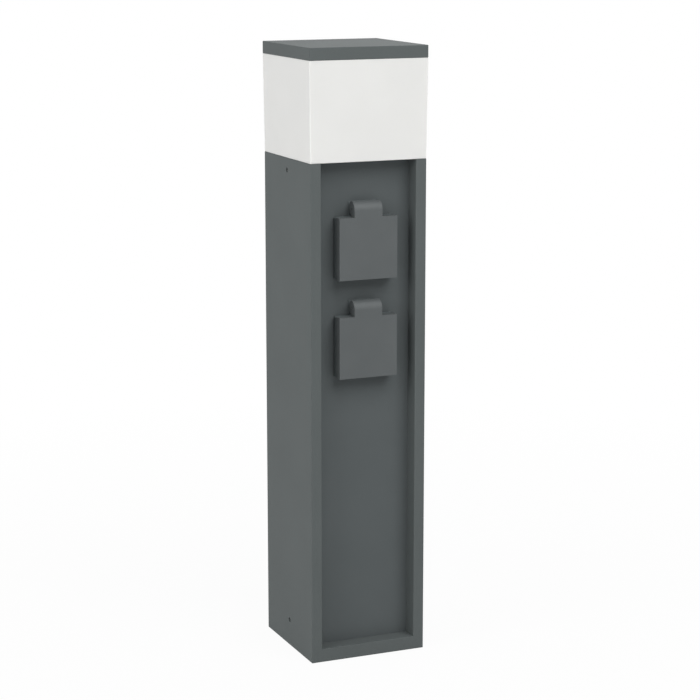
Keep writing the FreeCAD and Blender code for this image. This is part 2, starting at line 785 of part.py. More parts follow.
def lid_springs():
    """Two closely wound torsion springs on the pin, each with a leg on the pedestal and one in front."""
    x0 = hinge_lug_width / 2 + seat_gap
    x1 = x0 + spring_length
    start = V(x0, axis_y, axis_z)
    coil = rod(spring_mean_radius + spring_wire_radius, start, X_AXIS, spring_length)
    coil = coil.cut(drill(spring_mean_radius - spring_wire_radius, start, X_AXIS, spring_length))
    fixed_leg = rod(
        spring_wire_radius,
        V(x0 + spring_wire_radius, axis_y + spring_mean_radius, axis_z),
        -Z_AXIS,
        axis_z - pedestal_top,
    )
    moving_leg = rod(
        spring_wire_radius,
        V(x1 - spring_wire_radius, axis_y - spring_mean_radius, axis_z),
        -Z_AXIS,
        axis_z - flange_half - 2 * seat_gap,
    )
    spring = joined([coil, fixed_leg, moving_leg])
    return group([spring, mirrored_x(spring)])


def lantern_tray():
    """The cast tray on the column: a plate under the light and a skirt that the side screws hold."""
    plate = rounded_block(tray_half, inner_corner_radius, column_height, tray_top)
    skirt_half = inner_half - seat_gap
    room = skirt_half - tray_skirt_wall
    skirt = box(-skirt_half, skirt_half, foot_front_y, skirt_half, skirt_bottom, column_height)
    skirt = skirt.cut(
        box(-room, room, foot_front_y + tray_skirt_wall, room, skirt_bottom - past, column_height)
    )
    screw_z = column_height - lantern_screw_drop
    boss = rod(screw_boss_radius, V(skirt_half, 0, screw_z), -X_AXIS, screw_boss_length)
    tray = joined([plate, skirt, boss, mirrored_x(boss)])
    tray = tray.cut(drill(side_screw_radius + thread_gap, V(-half, 0, screw_z), X_AXIS, column_width))
    for x, y in standoff_places():
        place = V(x, y, column_height)
        tray = tray.cut(drill(standoff_screw_radius + thread_gap, place, Z_AXIS, tray_thickness))
    for x, y in board_screw_places():
        tray = tray.cut(rod(board_screw_radius, V(x, y, tray_top + past), -Z_AXIS, past + small_screw_bite))
    for x in driver_screw_xs():
        under = V(x, 0, column_height - past)
        tray = tray.cut(rod(board_screw_radius, under, Z_AXIS, past + small_screw_bite))
    return tray.cut(link_box(pocket_gap))


def tray_seal():
    """The gasket frame between the tray and the diffuser's inner flange."""
    inner = tray_half + seat_gap - diffuser_flange_width
    seal_top = tray_top + tray_seal_thickness
    return frame(tray_half, inner_corner_radius, inner, inner_corner_radius, tray_top, seal_top)


def diffuser():
    """The opal lantern body: leaning walls with round corners, and an inner flange on the tray."""
    base_half = half - diffuser_foot_inset
    lean = (cap_half - base_half) / lantern_height * past
    outer = tapered_square(base_half, cap_half, diffuser_corner_radius, column_height, cap_z)
    hollow = tapered_square(
        base_half - diffuser_wall - lean,
        cap_half - diffuser_wall + lean,
        inner_corner_radius,
        column_height - past,
        cap_z + past,
    )
    flange_z = tray_top + tray_seal_thickness
    flange_top = flange_z + diffuser_flange_thickness
    flange_inner = base_half - diffuser_wall - diffuser_flange_width
    middle = base_half - diffuser_wall / 2
    flange = frame(middle, inner_corner_radius, flange_inner, inner_corner_radius, flange_z, flange_top)
    body = joined([outer.cut(hollow), flange])
    step_radius = diffuser_corner_radius - cap_seal_size
    return body.cut(rounded_block(cap_seal_half(), step_radius, cap_z - cap_seal_size, cap_z + past))


def cap_seal_half():
    """Half the outer width of the cap's seal, and of its step in the diffuser."""
    return cap_half - diffuser_wall + cap_seal_size


def cap_seal():
    """The square cord seal in the step at the top of the diffuser."""
    outer = cap_seal_half()
    outer_radius = diffuser_corner_radius - cap_seal_size
    inner = outer - cap_seal_size
    return frame(outer, outer_radius, inner, inner_corner_radius, cap_z - cap_seal_size, cap_z)


def standoff_places():
    """Centres of the four pillars that tie the cap to the tray, all inside the tray's skirt."""
    reach = inner_half - seat_gap - standoff_inset
    return [(x, y) for x in (-reach, reach) for y in (foot_front_y + standoff_inset, reach)]


def top_cap():
    """The flat cap: a plate with a skirt, a ridge that centres it in the diffuser and four bosses."""
    cap = box(-cap_half, cap_half, -cap_half, cap_half, cap_z, top_z)
    corners = edges_where(
        cap, lambda p: near(p.z, top_z) or (near(abs(p.x), cap_half) and near(abs(p.y), cap_half))
    )
    cap = cap.makeFillet(cap_edge_radius, corners)
    under = top_z - cap_top_thickness
    room = cap_half - cap_skirt_wall
    cap = cap.cut(box(-room, room, -room, room, cap_z - past, under))
    ridge_outer = room - seat_gap
    ridge_inner = ridge_outer - cap_ridge_wall
    ridge_z = cap_z - cap_ridge_drop
    ridge = frame(ridge_outer, inner_corner_radius, ridge_inner, inner_corner_radius, ridge_z, under)
    bosses = [rod(screw_boss_radius, V(x, y, cap_z), Z_AXIS, under - cap_z) for x, y in standoff_places()]
    cap = joined([cap, ridge] + bosses)
    hole_length = past + standoff_stud_length + seat_gap
    for x, y in standoff_places():
        cap = cap.cut(rod(standoff_stud_radius, V(x, y, cap_z - past), Z_AXIS, hole_length))
    return cap


def standoffs():
    """The four round pillars between the tray and the cap, each with a stud on top."""
    made = []
    hole_length = past + standoff_screw_length - tray_thickness + seat_gap
    for x, y in standoff_places():
        pillar = rod(standoff_radius, V(x, y, tray_top), Z_AXIS, cap_z - tray_top)
        stud = rod(standoff_stud_radius, V(x, y, cap_z), Z_AXIS, standoff_stud_length)
        hole = rod(standoff_screw_radius, V(x, y, tray_top - past), Z_AXIS, hole_length)
        made.append(joined([pillar, stud]).cut(hole))
    return group(made)


def standoff_screws():
    """The screws that go up through the tray into the pillars."""
    made = []
    for x, y in standoff_places():
        under = V(x, y, column_height)
        head = rod(standoff_screw_head_radius, under, -Z_AXIS, standoff_screw_head_height)
        shank = rod(standoff_screw_radius, under, Z_AXIS, standoff_screw_length)
        made.append(joined([head, shank]))
    return group(made)


def board_screw_places():
    """Centres of the four screws of the light board."""
    reach = board_size / 2 - board_screw_inset
    return [(x, y) for x in (-reach, reach) for y in (-reach, reach)]


def link_box(gap):
    """Room for the plug that links the driver to the board, with a gap all round."""
    return box(
        -link_width / 2 - gap,
        link_width / 2 + gap,
        driver_width / 4 - link_depth / 2 - gap,
        driver_width / 4 + link_depth / 2 + gap,
        column_height - gap,
        tray_top + board_thickness + gap,
    )


def led_board():
    """The light board on the tray."""
    reach = board_size / 2
    board = box(-reach, reach, -reach, reach, tray_top, tray_top + board_thickness)
    for x, y in board_screw_places():
        place = V(x, y, tray_top)
        board = board.cut(drill(board_screw_radius + thread_gap, place, Z_AXIS, board_thickness))
    return board.cut(link_box(pocket_gap))


def leds():
    """The rows of light-emitting diodes on the board."""
    made = []
    z0 = tray_top + board_thickness
    places = [(k - (led_rows - 1) / 2) * led_pitch for k in range(led_rows)]
    for x in places:
        for y in places:
            x0 = x - led_width / 2
            y0 = y - led_length / 2
            made.append(box(x0, x0 + led_width, y0, y0 + led_length, z0, z0 + led_height))
    return group(made)


def board_screws():
    """The four screws of the light board."""
    made = []
    top = tray_top + board_thickness
    for x, y in board_screw_places():
        head = rod(board_screw_head_radius, V(x, y, top), Z_AXIS, board_screw_head_height)
        shank = rod(board_screw_radius, V(x, y, top), -Z_AXIS, board_thickness + small_screw_bite)
        made.append(joined([head, shank]))
    return group(made)


def board_link():
    """The plug that joins the driver to the light board through the tray."""
    return link_box(0)


def driver_screw_xs():
    """Places of the two driver screws along the post's width."""
    reach = driver_length / 2 + driver_ear / 2
    return (-reach, reach)


def led_driver():
    """The driver's closed case under the tray, with two screw ears."""
    end = driver_length / 2
    side = driver_width / 2
    case = box(-end, end, -side, side, column_height - driver_height, column_height)
    corners = edges_where(case, lambda p: near(abs(p.x), end) and near(abs(p.y), side))
    case = case.makeFillet(driver_corner_radius, corners)
    reach = end + driver_ear
    ear_z = column_height - driver_ear_thickness
    ears = box(-reach, reach, -driver_ear / 2, driver_ear / 2, ear_z, column_height)
    body = joined([case, ears])
    for x in driver_screw_xs():
        place = V(x, 0, ear_z)
        body = body.cut(drill(board_screw_radius + thread_gap, place, Z_AXIS, driver_ear_thickness))
    return body


def driver_screws():
    """The two screws that hold the driver's ears against the tray."""
    made = []
    under = column_height - driver_ear_thickness
    for x in driver_screw_xs():
        head = rod(board_screw_head_radius, V(x, 0, under), -Z_AXIS, board_screw_head_height)
        shank = rod(board_screw_radius, V(x, 0, under), Z_AXIS, driver_ear_thickness + small_screw_bite)
        made.append(joined([head, shank]))
    return group(made)


def bracket_screw_xs():
    """Places of the two bracket screws along the post's width."""
    return (-bracket_width / 3, bracket_width / 3)


def bracket_screw_y():
    """Depth of the bracket screws, in the middle of its foot."""
    return bracket_y + (bracket_thickness + bracket_foot) / 2


def terminal_bracket():
    """The folded bracket on the foot that carries the supply terminals and the cable strap."""
    reach = bracket_width / 2
    flat_top = foot_thickness + bracket_thickness
    upright = box(-reach, reach, bracket_y, bracket_y + bracket_thickness, foot_thickness, bracket_top)
    flat = box(-reach, reach, bracket_y, bracket_y + bracket_foot, foot_thickness, flat_top)
    bracket = joined([upright, flat])
    for x in bracket_screw_xs():
        place = V(x, bracket_screw_y(), foot_thickness)
        bracket = bracket.cut(drill(bracket_screw_radius, place, Z_AXIS, bracket_thickness))
    small_places = [(x, strap_middle()) for x in strap_screw_xs()]
    small_places += [(x, terminal_middle()) for x in terminal_fixing_xs()]
    for x, z in small_places:
        bracket = bracket.cut(drill(board_screw_radius, V(x, bracket_y, z), Y_AXIS, bracket_thickness))
    return bracket


def terminal_fixing_xs():
    """Places of the two screws that hold the terminals, along the post's width."""
    return (-terminal_width / 4, terminal_width / 4)


def terminal_middle():
    """Height of the middle of the supply terminals."""
    return terminal_top - terminal_height / 2


def bracket_screws():
    """The screws that hold the bracket on the foot, and the supply terminals on the bracket."""
    made = []
    top = foot_thickness + bracket_thickness
    for x in bracket_screw_xs():
        place = V(x, bracket_screw_y(), top)
        head = rod(bracket_screw_head_radius, place, Z_AXIS, bracket_screw_head_height)
        shank = rod(bracket_screw_radius, place, -Z_AXIS, top - seat_gap)
        made.append(joined([head, shank]))
    for x in terminal_fixing_xs():
        place = V(x, bracket_y + bracket_thickness, terminal_middle())
        head = rod(board_screw_head_radius, place, Y_AXIS, board_screw_head_height)
        shank = rod(board_screw_radius, place, -Y_AXIS, bracket_thickness + terminal_fixing_depth)
        made.append(joined([head, shank]))
    return group(made)


def terminal_block():
    """The three-way supply terminal, one way per wire, with screw wells in front."""
    bottom = terminal_top - terminal_height
    block = box(-terminal_width / 2, terminal_width / 2, terminal_y, bracket_y, bottom, terminal_top)
    for x in (-contact_x, 0, contact_x):
        for z in terminal_screw_zs():
            front = V(x, terminal_y - past, z)
            well = rod(terminal_screw_radius + pocket_gap, front, Y_AXIS, past + terminal_screw_depth)
            block = block.cut(well)
    groove_half = terminal_groove_width / 2
    groove_y = terminal_y + terminal_groove_depth
    for x in (-contact_x / 2, contact_x / 2):
        x0 = x - groove_half
        x1 = x + groove_half
        block = block.cut(box(x0, x1, terminal_y - past, groove_y, bottom - past, terminal_top + past))
    for x in terminal_fixing_xs():
        place = V(x, bracket_y + past, terminal_middle())
        block = block.cut(rod(board_screw_radius, place, -Y_AXIS, past + terminal_fixing_depth))
    return block


def terminal_screw_zs():
    """Heights of the two rows of terminal screws."""
    return (terminal_middle() - terminal_height / 4, terminal_middle() + terminal_height / 4)


def terminal_screws():
    """The six slotted screws of the supply terminal."""
    made = []
    face_y = terminal_y + terminal_screw_sink
    length = terminal_screw_depth - terminal_screw_sink
    for x in (-contact_x, 0, contact_x):
        for z in terminal_screw_zs():
            screw = rod(terminal_screw_radius, V(x, face_y, z), Y_AXIS, length)
            slot = slot_cut(x, face_y - past, face_y + length / 3, z, 2 * terminal_screw_radius)
            made.append(screw.cut(slot))
    return group(made)


def strap_screw_xs():
    """Places of the two screws of the cable strap along the post's width."""
    reach = bush_bore_radius + clamp_strap_thickness + clamp_strap_wing / 2
    return (-reach, reach)


def strap_middle():
    """Height of the middle of the cable strap."""
    return clamp_strap_height + clamp_strap_width / 2


def cable_strap():
    """The strap that holds the supply cable against the bracket."""
    z0 = clamp_strap_height
    z1 = z0 + clamp_strap_width
    outer = bush_bore_radius + clamp_strap_thickness
    reach = outer + clamp_strap_wing
    bow = rod(outer, V(0, cable_y, z0), Z_AXIS, clamp_strap_width)
    sides = box(-outer, outer, cable_y, bracket_y, z0, z1)
    wings = box(-reach, reach, bracket_y - clamp_strap_thickness, bracket_y, z0, z1)
    strap = joined([bow, sides, wings])
    strap = strap.cut(drill(bush_bore_radius, V(0, cable_y, z0), Z_AXIS, clamp_strap_width))
    strap = strap.cut(box(-bush_bore_radius, bush_bore_radius, cable_y, half, z0 - past, z1 + past))
    for x in strap_screw_xs():
        place = V(x, bracket_y - clamp_strap_thickness, strap_middle())
        strap = strap.cut(drill(board_screw_radius + thread_gap, place, Y_AXIS, clamp_strap_thickness))
    return strap


def strap_screws():
    """The two screws of the cable strap."""
    made = []
    face = bracket_y - clamp_strap_thickness
    for x in strap_screw_xs():
        place = V(x, face, strap_middle())
        head = rod(board_screw_head_radius, place, -Y_AXIS, board_screw_head_height)
        shank = rod(board_screw_radius, place, Y_AXIS, clamp_strap_thickness + bracket_thickness)
        made.append(joined([head, shank]))
    return group(made)


def earth_stud():
    """The threaded stud of the foot's earth bond."""
    return rod(earth_stud_radius, V(earth_stud_x, earth_stud_y, seat_gap), Z_AXIS, earth_stud_height)


def earth_sleeve_end():
    """Back end of the lug's sleeve, just clear of the nut."""
    return earth_stud_y - earth_nut_flats / 2 - seat_gap


def earth_lug():
    """The ring lug on the stud, with the sleeve that grips the bond wire."""
    middle = V(earth_stud_x, earth_stud_y, foot_thickness)
    plate = rod(earth_lug_radius, middle, Z_AXIS, earth_lug_thickness)
    side = wire_radius + earth_sleeve_wall
    y1 = earth_sleeve_end()
    y0 = y1 - earth_sleeve_length
    z1 = foot_thickness + 2 * side
    sleeve = box(earth_stud_x - side, earth_stud_x + side, y0, y1, foot_thickness, z1)
    return joined([plate, sleeve]).cut(drill(earth_stud_radius, middle, Z_AXIS, earth_lug_thickness))


def earth_nut():
    """The nut that clamps the ring lug."""
    start = V(earth_stud_x, earth_stud_y, foot_thickness + earth_lug_thickness)
    nut = hexagon(earth_nut_flats, start, Z_AXIS, earth_nut_height)
    return nut.cut(drill(earth_stud_radius, start, Z_AXIS, earth_nut_height))


def wires(x):
    """One pole's wires: from the supply terminal to the lower outlet, the upper one and the driver."""
    clamp_half = clamp_size / 2
    start = V(x, bracket_y - terminal_depth / 2, terminal_top)
    end = V(x, wire_y, lower_outlet_height - clamp_half)
    middle = V(x, wire_y + wire_slack, (start.z + end.z) / 2)
    foot_run = bent_tube(
        [start, start + Z_AXIS * wire_straight, middle, end - Z_AXIS * wire_straight, end], wire_radius
    )
    low = lower_outlet_height + clamp_half
    loop = rod(wire_radius, V(x, wire_y, low), Z_AXIS, upper_outlet_height - clamp_half - low)
    made = [foot_run, loop]
    if x != 0:
        high = upper_outlet_height + clamp_half
        made.append(rod(wire_radius, V(x, wire_y, high), Z_AXIS, column_height - driver_height - high))
    return made


def bond_wire():
    """The earth bond from the supply terminal down to the ring lug."""
    start = V(bond_offset, bracket_y - terminal_depth / 2, terminal_top - terminal_height)
    below = start - Z_AXIS * bond_drop
    sleeve_y = earth_sleeve_end() - earth_sleeve_length
    end = V(earth_stud_x, sleeve_y, foot_thickness + wire_radius + earth_sleeve_wall)
    before_end = V(earth_stud_x, (start.y + end.y) / 2 - wire_radius, end.z)
    turn = V(earth_stud_x, start.y - bond_bow, end.z + bond_bow)
    aside = V(earth_stud_x - bond_bow, start.y - bond_bow, (below.z + turn.z) / 2)
    return bent_tube([start, below, aside, turn, before_end, end], wire_radius)


def outlet_parts():
    """The pieces of one outlet, round its own centre."""
    return {
        "outlet_body": outlet_body(),
        "outlet_insert": outlet_insert(),
        "contact_block": contact_block(),
        "contacts": contacts(),
        "clamp_screws": clamp_screws(),
        "earth_clip": earth_clip(),
        "centre_screw": centre_screw(),
        "flange_seal": flange_seal(),
        "flange_screws": flange_screws(),
        "flange_nuts": flange_nuts(),
        "lid": lid(),
        "lid_seal": lid_seal(),
        "hinge_pin": hinge_pin(),
        "lid_springs": lid_springs(),
    }


def build():
    """Every piece of the post by name."""
    pieces = {
        "column_shell": column_shell(),
        "side_screws": side_screws(),
        "front_panel": front_panel(),
        "foot_plate": foot_plate(),
        "cable_bush": cable_bush(),
        "lantern_tray": lantern_tray(),
        "tray_seal": tray_seal(),
        "diffuser": diffuser(),
        "cap_seal": cap_seal(),
        "top_cap": top_cap(),
        "standoffs": standoffs(),
        "standoff_screws": standoff_screws(),
        "led_board": led_board(),
        "leds": leds(),
        "board_screws": board_screws(),
        "board_link": board_link(),
        "led_driver": led_driver(),
        "driver_screws": driver_screws(),
        "terminal_bracket": terminal_bracket(),
        "bracket_screws": bracket_screws(),
        "terminal_block": terminal_block(),
        "terminal_screws": terminal_screws(),
        "cable_strap": cable_strap(),
        "strap_screws": strap_screws(),
        "earth_stud": earth_stud(),
        "earth_lug": earth_lug(),
        "earth_nut": earth_nut(),
        "live_wires": group(wires(-contact_x)),
        "neutral_wires": group(wires(contact_x)),
        "earth_wires": group(wires(0) + [bond_wire()]),
    }
    for kind, shape in outlet_parts().items():
        for level, height in outlets.items():
            pieces[f"{level}_{kind}"] = shape.translated(V(0, 0, height))
    return pieces


os.makedirs(OUT, exist_ok=True)
for name, piece in build().items():
    piece.exportStep(f"{OUT}/{name}.step")
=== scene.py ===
import json
import math

import bmesh
import bpy
from mathutils import Matrix, Vector


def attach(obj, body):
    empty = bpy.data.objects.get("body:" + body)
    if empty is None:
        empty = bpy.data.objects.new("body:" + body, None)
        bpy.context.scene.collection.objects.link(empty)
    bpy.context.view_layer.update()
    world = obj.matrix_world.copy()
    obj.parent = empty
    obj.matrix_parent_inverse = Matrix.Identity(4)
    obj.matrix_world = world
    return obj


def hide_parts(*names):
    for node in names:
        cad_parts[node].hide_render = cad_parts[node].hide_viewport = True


# Garden socket post: a square anthracite column with two lidded outlets in a recessed front,
# under an opal lantern. Metres, +Z up, front towards -Y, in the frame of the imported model.

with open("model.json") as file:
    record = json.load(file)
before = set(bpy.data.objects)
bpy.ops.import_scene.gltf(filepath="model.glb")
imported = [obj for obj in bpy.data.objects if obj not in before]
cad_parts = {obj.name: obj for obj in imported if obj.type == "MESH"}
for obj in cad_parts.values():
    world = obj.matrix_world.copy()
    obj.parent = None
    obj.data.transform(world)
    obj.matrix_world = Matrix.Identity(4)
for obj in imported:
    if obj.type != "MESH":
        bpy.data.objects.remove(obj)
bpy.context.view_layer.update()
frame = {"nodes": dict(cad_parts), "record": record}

MM = 0.001
X_AXIS = Vector((1, 0, 0))
Y_AXIS = Vector((0, 1, 0))
Z_AXIS = Vector((0, 0, 1))


# Camera: at the photograph's eye point, with its long lens

CAMERA_PLACE = Vector((-0.6716, -1.5839, 0.6027))
CAMERA_TARGET = Vector((0.005, 0, 0.2482))
SENSOR_WIDTH = 36.0
FOCAL_PIXELS = 2128.4
PHOTO_WIDTH = 700


def aim(thing, place, target):
    """Puts a camera or a lamp in its place and turns it towards a point."""
    thing.location = place
    thing.rotation_euler = (Vector(target) - Vector(place)).to_track_quat("-Z", "Y").to_euler()


camera_data = bpy.data.cameras.new("camera")
camera_data.sensor_width = SENSOR_WIDTH
camera_data.lens = SENSOR_WIDTH * FOCAL_PIXELS / PHOTO_WIDTH
camera = bpy.data.objects.new("camera", camera_data)
bpy.context.scene.collection.objects.link(camera)
aim(camera, CAMERA_PLACE, CAMERA_TARGET)
bpy.context.scene.camera = camera
bpy.context.scene.view_settings.view_transform = "Standard"


# Node trees

# most of a noise lies between these two levels
MOST_NOISE = {"From Min": 0.3, "From Max": 0.7}
# a Mix node's colour sockets, which share their names with its other kinds
MIX_A, MIX_B, MIXED = 6, 7, 2


def linear(code):
    """An sRGB hex colour as linear red, green, blue and alpha."""
    channels = [int(code[k:k + 2], 16) / 255 for k in (1, 3, 5)]
    return [c / 12.92 if c <= 0.04045 else ((c + 0.055) / 1.055) ** 2.4 for c in channels] + [1.0]


def add(tree, kind, inputs=None, **settings):
    """A new node with its settings. Each input is set to a value, or linked from a socket or from a
    node's first output."""
    made = tree.nodes.new("ShaderNode" + kind)
    for name, value in settings.items():
        setattr(made, name, value)
    for name, value in (inputs or {}).items():
        if isinstance(value, bpy.types.Node):
            value = value.outputs[0]
        if isinstance(value, bpy.types.NodeSocket):
            tree.links.new(value, made.inputs[name])
        else:
            made.inputs[name].default_value = value
    return made


def per_metre(size_mm):
    """Noise scale for features of a size in millimetres, on coordinates in metres."""
    return 1 / (size_mm * MM)


def blank(name):
    """An empty node material, its tree, and the coordinates that its patterns read."""
    made = bpy.data.materials.new(name)
    made.use_nodes = True
    tree = made.node_tree
    tree.nodes.clear()
    return made, tree, add(tree, "TexCoord").outputs["Object"]


# Light and floor: a plain soft studio, white wherever the camera, gloss or glass looks past the object

WHITE = linear("#ffffff")
SKY_LEVEL = 0.42
# how much of the floor is plain white to the eye by the post; the rest shows the shadow
FLOOR_GLOW = 0.95
# the floor turns to plain white between these two distances
SHADOW_REACH = 0.25
WHITE_REACH = 0.9
FLOOR_HALF = 6.0


def seen_directly(tree):
    """1 for camera, glossy and transmission rays, 0 for the rays that carry diffuse light."""
    path = add(tree, "LightPath").outputs
    looks = add(tree, "Math", {0: path["Is Camera Ray"], 1: path["Is Glossy Ray"]}, operation="ADD")
    return add(tree, "Math", {0: looks, 1: path["Is Transmission Ray"]}, operation="ADD", use_clamp=True)


world = bpy.data.worlds.new("studio")
bpy.context.scene.world = world
world.use_nodes = True
sky = world.node_tree
sky.nodes.clear()
sky_light = add(sky, "Background", {"Color": WHITE, "Strength": SKY_LEVEL})
sky_white = add(sky, "Background", {"Color": WHITE, "Strength": 1.0})
sky_mix = add(sky, "MixShader", {0: seen_directly(sky), 1: sky_light, 2: sky_white})
add(sky, "OutputWorld", {"Surface": sky_mix})

floor_material, paper, paper_place = blank("floor_paper")
paper_matte = add(paper, "BsdfDiffuse", {"Color": linear("#d6d6d6")})
paper_white = add(paper, "Emission", {"Color": WHITE, "Strength": 1.0})
paper_distance = add(paper, "VectorMath", {0: paper_place}, operation="LENGTH").outputs["Value"]
paper_reach = {"From Min": SHADOW_REACH, "From Max": WHITE_REACH}
paper_glow = add(paper, "MapRange", {"Value": paper_distance, **paper_reach, "To Min": FLOOR_GLOW})
paper_share = add(paper, "Math", {0: seen_directly(paper), 1: paper_glow}, operation="MULTIPLY")
paper_mix = add(paper, "MixShader", {0: paper_share, 1: paper_matte, 2: paper_white})
add(paper, "OutputMaterial", {"Surface": paper_mix})

floor_mesh = bpy.data.meshes.new("floor")
floor_shape = bmesh.new()
bmesh.ops.create_grid(floor_shape, x_segments=1, y_segments=1, size=FLOOR_HALF)
floor_shape.to_mesh(floor_mesh)
floor_shape.free()
floor = bpy.data.objects.new("floor", floor_mesh)
floor_mesh.materials.append(floor_material)
bpy.context.scene.collection.objects.link(floor)


def soft_box(name, place, target, size, watts):
    """A large square studio lamp that faces a point."""
    lamp_data = bpy.data.lights.new(name, "AREA")
    lamp_data.shape = "SQUARE"
    lamp_data.size = size
    lamp_data.energy = watts
    lamp = bpy.data.objects.new(name, lamp_data)
    bpy.context.scene.collection.objects.link(lamp)
    aim(lamp, place, target)


soft_box("key_light", place=(0.35, -1.3, 1.7), target=(0, 0, 0.4), size=1.4, watts=27.5)
soft_box("left_light", place=(-2.15, -0.5, 1.3), target=(0, 0, 0.35), size=1.6, watts=32)
soft_box("back_light", place=(1.7, 1.5, 1.5), target=(0, 0, 0.3), size=1.4, watts=10)
soft_box("top_light", place=(0.0, -1.0, 2.4), target=(0, 0, 0.35), size=1.2, watts=2.5)


# Materials

def surface(tree, **inputs):
    """The surface shader with its patterns and constants, linked to the material's output."""
    shader = add(tree, "BsdfPrincipled", {name.replace("_", " "): value for name, value in inputs.items()})
    add(tree, "OutputMaterial", {"Surface": shader})


def two_tones(tree, noise, dark, light, span=MOST_NOISE):
    """A colour that drifts between a dark and a light tone with a noise."""
    tone = add(tree, "MapRange", {"Value": noise, **span})
    mix = {"Factor": tone, MIX_A: linear(dark), MIX_B: linear(light)}
    return add(tree, "Mix", mix, data_type="RGBA").outputs[MIXED]


def coated_metal(name, dark, light):
    """Polyester powder coat on aluminium: sprayed as dust and baked, so satin, a little wavy like
    orange peel, with a fine grain. The grain is drawn at twice its size to show in the render."""
    made, tree, place = blank(name)
    cloud = add(tree, "TexNoise", {"Vector": place, "Scale": per_metre(60), "Detail": 3.0})
    peel = add(tree, "TexNoise", {"Vector": place, "Scale": per_metre(5), "Detail": 1.0})
    grain = add(tree, "TexNoise", {"Vector": place, "Scale": per_metre(0.9), "Detail": 2.0})
    tone = add(tree, "MapRange", {"Value": cloud, **MOST_NOISE})
    speck = add(tree, "MapRange", {"Value": grain, **MOST_NOISE, "To Min": -0.3, "To Max": 0.3})
    share = add(tree, "Math", {0: tone, 1: speck}, operation="ADD", use_clamp=True)
    mix = {"Factor": share, MIX_A: linear(dark), MIX_B: linear(light)}
    colour = add(tree, "Mix", mix, data_type="RGBA").outputs[MIXED]
    satin = add(tree, "MapRange", {"Value": grain, **MOST_NOISE, "To Min": 0.52, "To Max": 0.6})
    wavy = add(tree, "Bump", {"Height": peel, "Distance": 0.03 * MM, "Strength": 0.35})
    fine = add(tree, "Bump", {"Height": grain, "Normal": wavy, "Distance": 0.05 * MM, "Strength": 0.3})
    surface(
        tree,
        Base_Color=colour,
        Roughness=satin,
        Normal=fine,
        IOR=1.47,
        Metallic=0.0,
        Specular_IOR_Level=0.1,
    )
    return made


def moulded_plastic(name, dark, light, rough, grain, depth=0.03):
    """Moulded polymer from a spark-eroded tool: an even matt grain and faint flow marks. The grain, in
    millimetres, is drawn a few times its size to show in the render."""
    made, tree, place = blank(name)
    flow = add(tree, "TexNoise", {"Vector": place, "Scale": per_metre(35), "Detail": 2.0})
    grit = {"Scale": per_metre(grain), "Detail": 2.0, "Roughness": 0.6}
    skin = add(tree, "TexNoise", {"Vector": place, **grit})
    spread = {"To Min": rough - 0.05, "To Max": rough + 0.06}
    surface(
        tree,
        Base_Color=two_tones(tree, flow, dark, light),
        Roughness=add(tree, "MapRange", {"Value": skin, **MOST_NOISE, **spread}),
        Normal=add(tree, "Bump", {"Height": skin, "Distance": depth * MM, "Strength": 0.3}),
        IOR=1.5,
        Metallic=0.0,
        Specular_IOR_Level=0.35,
    )
    return made


def soft_rubber(name, dark, light):
    """Moulded EPDM: matt black with a bloom of paler dust and a dry, slightly pebbled skin, whose
    pebbles are drawn a few times their size."""
    made, tree, place = blank(name)
    bloom = add(tree, "TexNoise", {"Vector": place, "Scale": per_metre(8), "Detail": 4.0})
    pebble = add(tree, "TexNoise", {"Vector": place, "Scale": per_metre(0.8), "Detail": 2.0})
    surface(
        tree,
        Base_Color=two_tones(tree, bloom, dark, light, {"From Min": 0.35, "From Max": 0.8}),
        Roughness=add(tree, "MapRange", {"Value": bloom, **MOST_NOISE, "To Min": 0.7, "To Max": 0.85}),
        Normal=add(tree, "Bump", {"Height": pebble, "Distance": 0.04 * MM, "Strength": 0.3}),
        IOR=1.52,
        Metallic=0.0,
    )
    return made


def bare_metal(name, dark, light, rough, stretch=(1, 1, 1), line=0.5):
    """Bare metal: colour from the alloy, and fine marks from how it was made, along one way where it
    was turned or rolled. A mark's width, in millimetres, is drawn wider than it is, to show."""
    made, tree, place = blank(name)
    along = add(tree, "Mapping", {"Vector": place, "Scale": stretch})
    lines = {"Scale": per_metre(line), "Detail": 3.0, "Roughness": 0.6}
    marks = add(tree, "TexNoise", {"Vector": along, **lines})
    patches = add(tree, "TexNoise", {"Vector": place, "Scale": per_metre(6), "Detail": 3.0})
    spread = {"To Min": rough - 0.06, "To Max": rough + 0.1}
    surface(
        tree,
        Base_Color=two_tones(tree, patches, dark, light),
        Roughness=add(tree, "MapRange", {"Value": marks, **MOST_NOISE, **spread}),
        Normal=add(tree, "Bump", {"Height": marks, "Distance": 0.02 * MM, "Strength": 0.25}),
        Metallic=1.0,
    )
    return made


def opal_acrylic(name, dark, light):
    """Moulded opal acrylic: milky right through, so that light softens inside it and every side
    glows alike, under a dull skin that is a little wavy from the mould."""
    made, tree, place = blank(name)
    milk = add(tree, "TexNoise", {"Vector": place, "Scale": per_metre(45), "Detail": 2.0})
    ripple = add(tree, "TexNoise", {"Vector": place, "Scale": per_metre(22), "Detail": 1.0})
    surface(
        tree,
        Base_Color=two_tones(tree, milk, dark, light),
        Roughness=add(tree, "MapRange", {"Value": ripple, **MOST_NOISE, "To Min": 0.5, "To Max": 0.56}),
        Normal=add(tree, "Bump", {"Height": ripple, "Distance": 0.1 * MM, "Strength": 0.08}),
        IOR=1.49,
        Metallic=0.0,
        Specular_IOR_Level=0.15,
        Subsurface_Weight=0.5,
        Subsurface_Radius=(1.0, 0.98, 0.95),
        Subsurface_Scale=4 * MM,
    )
    return made


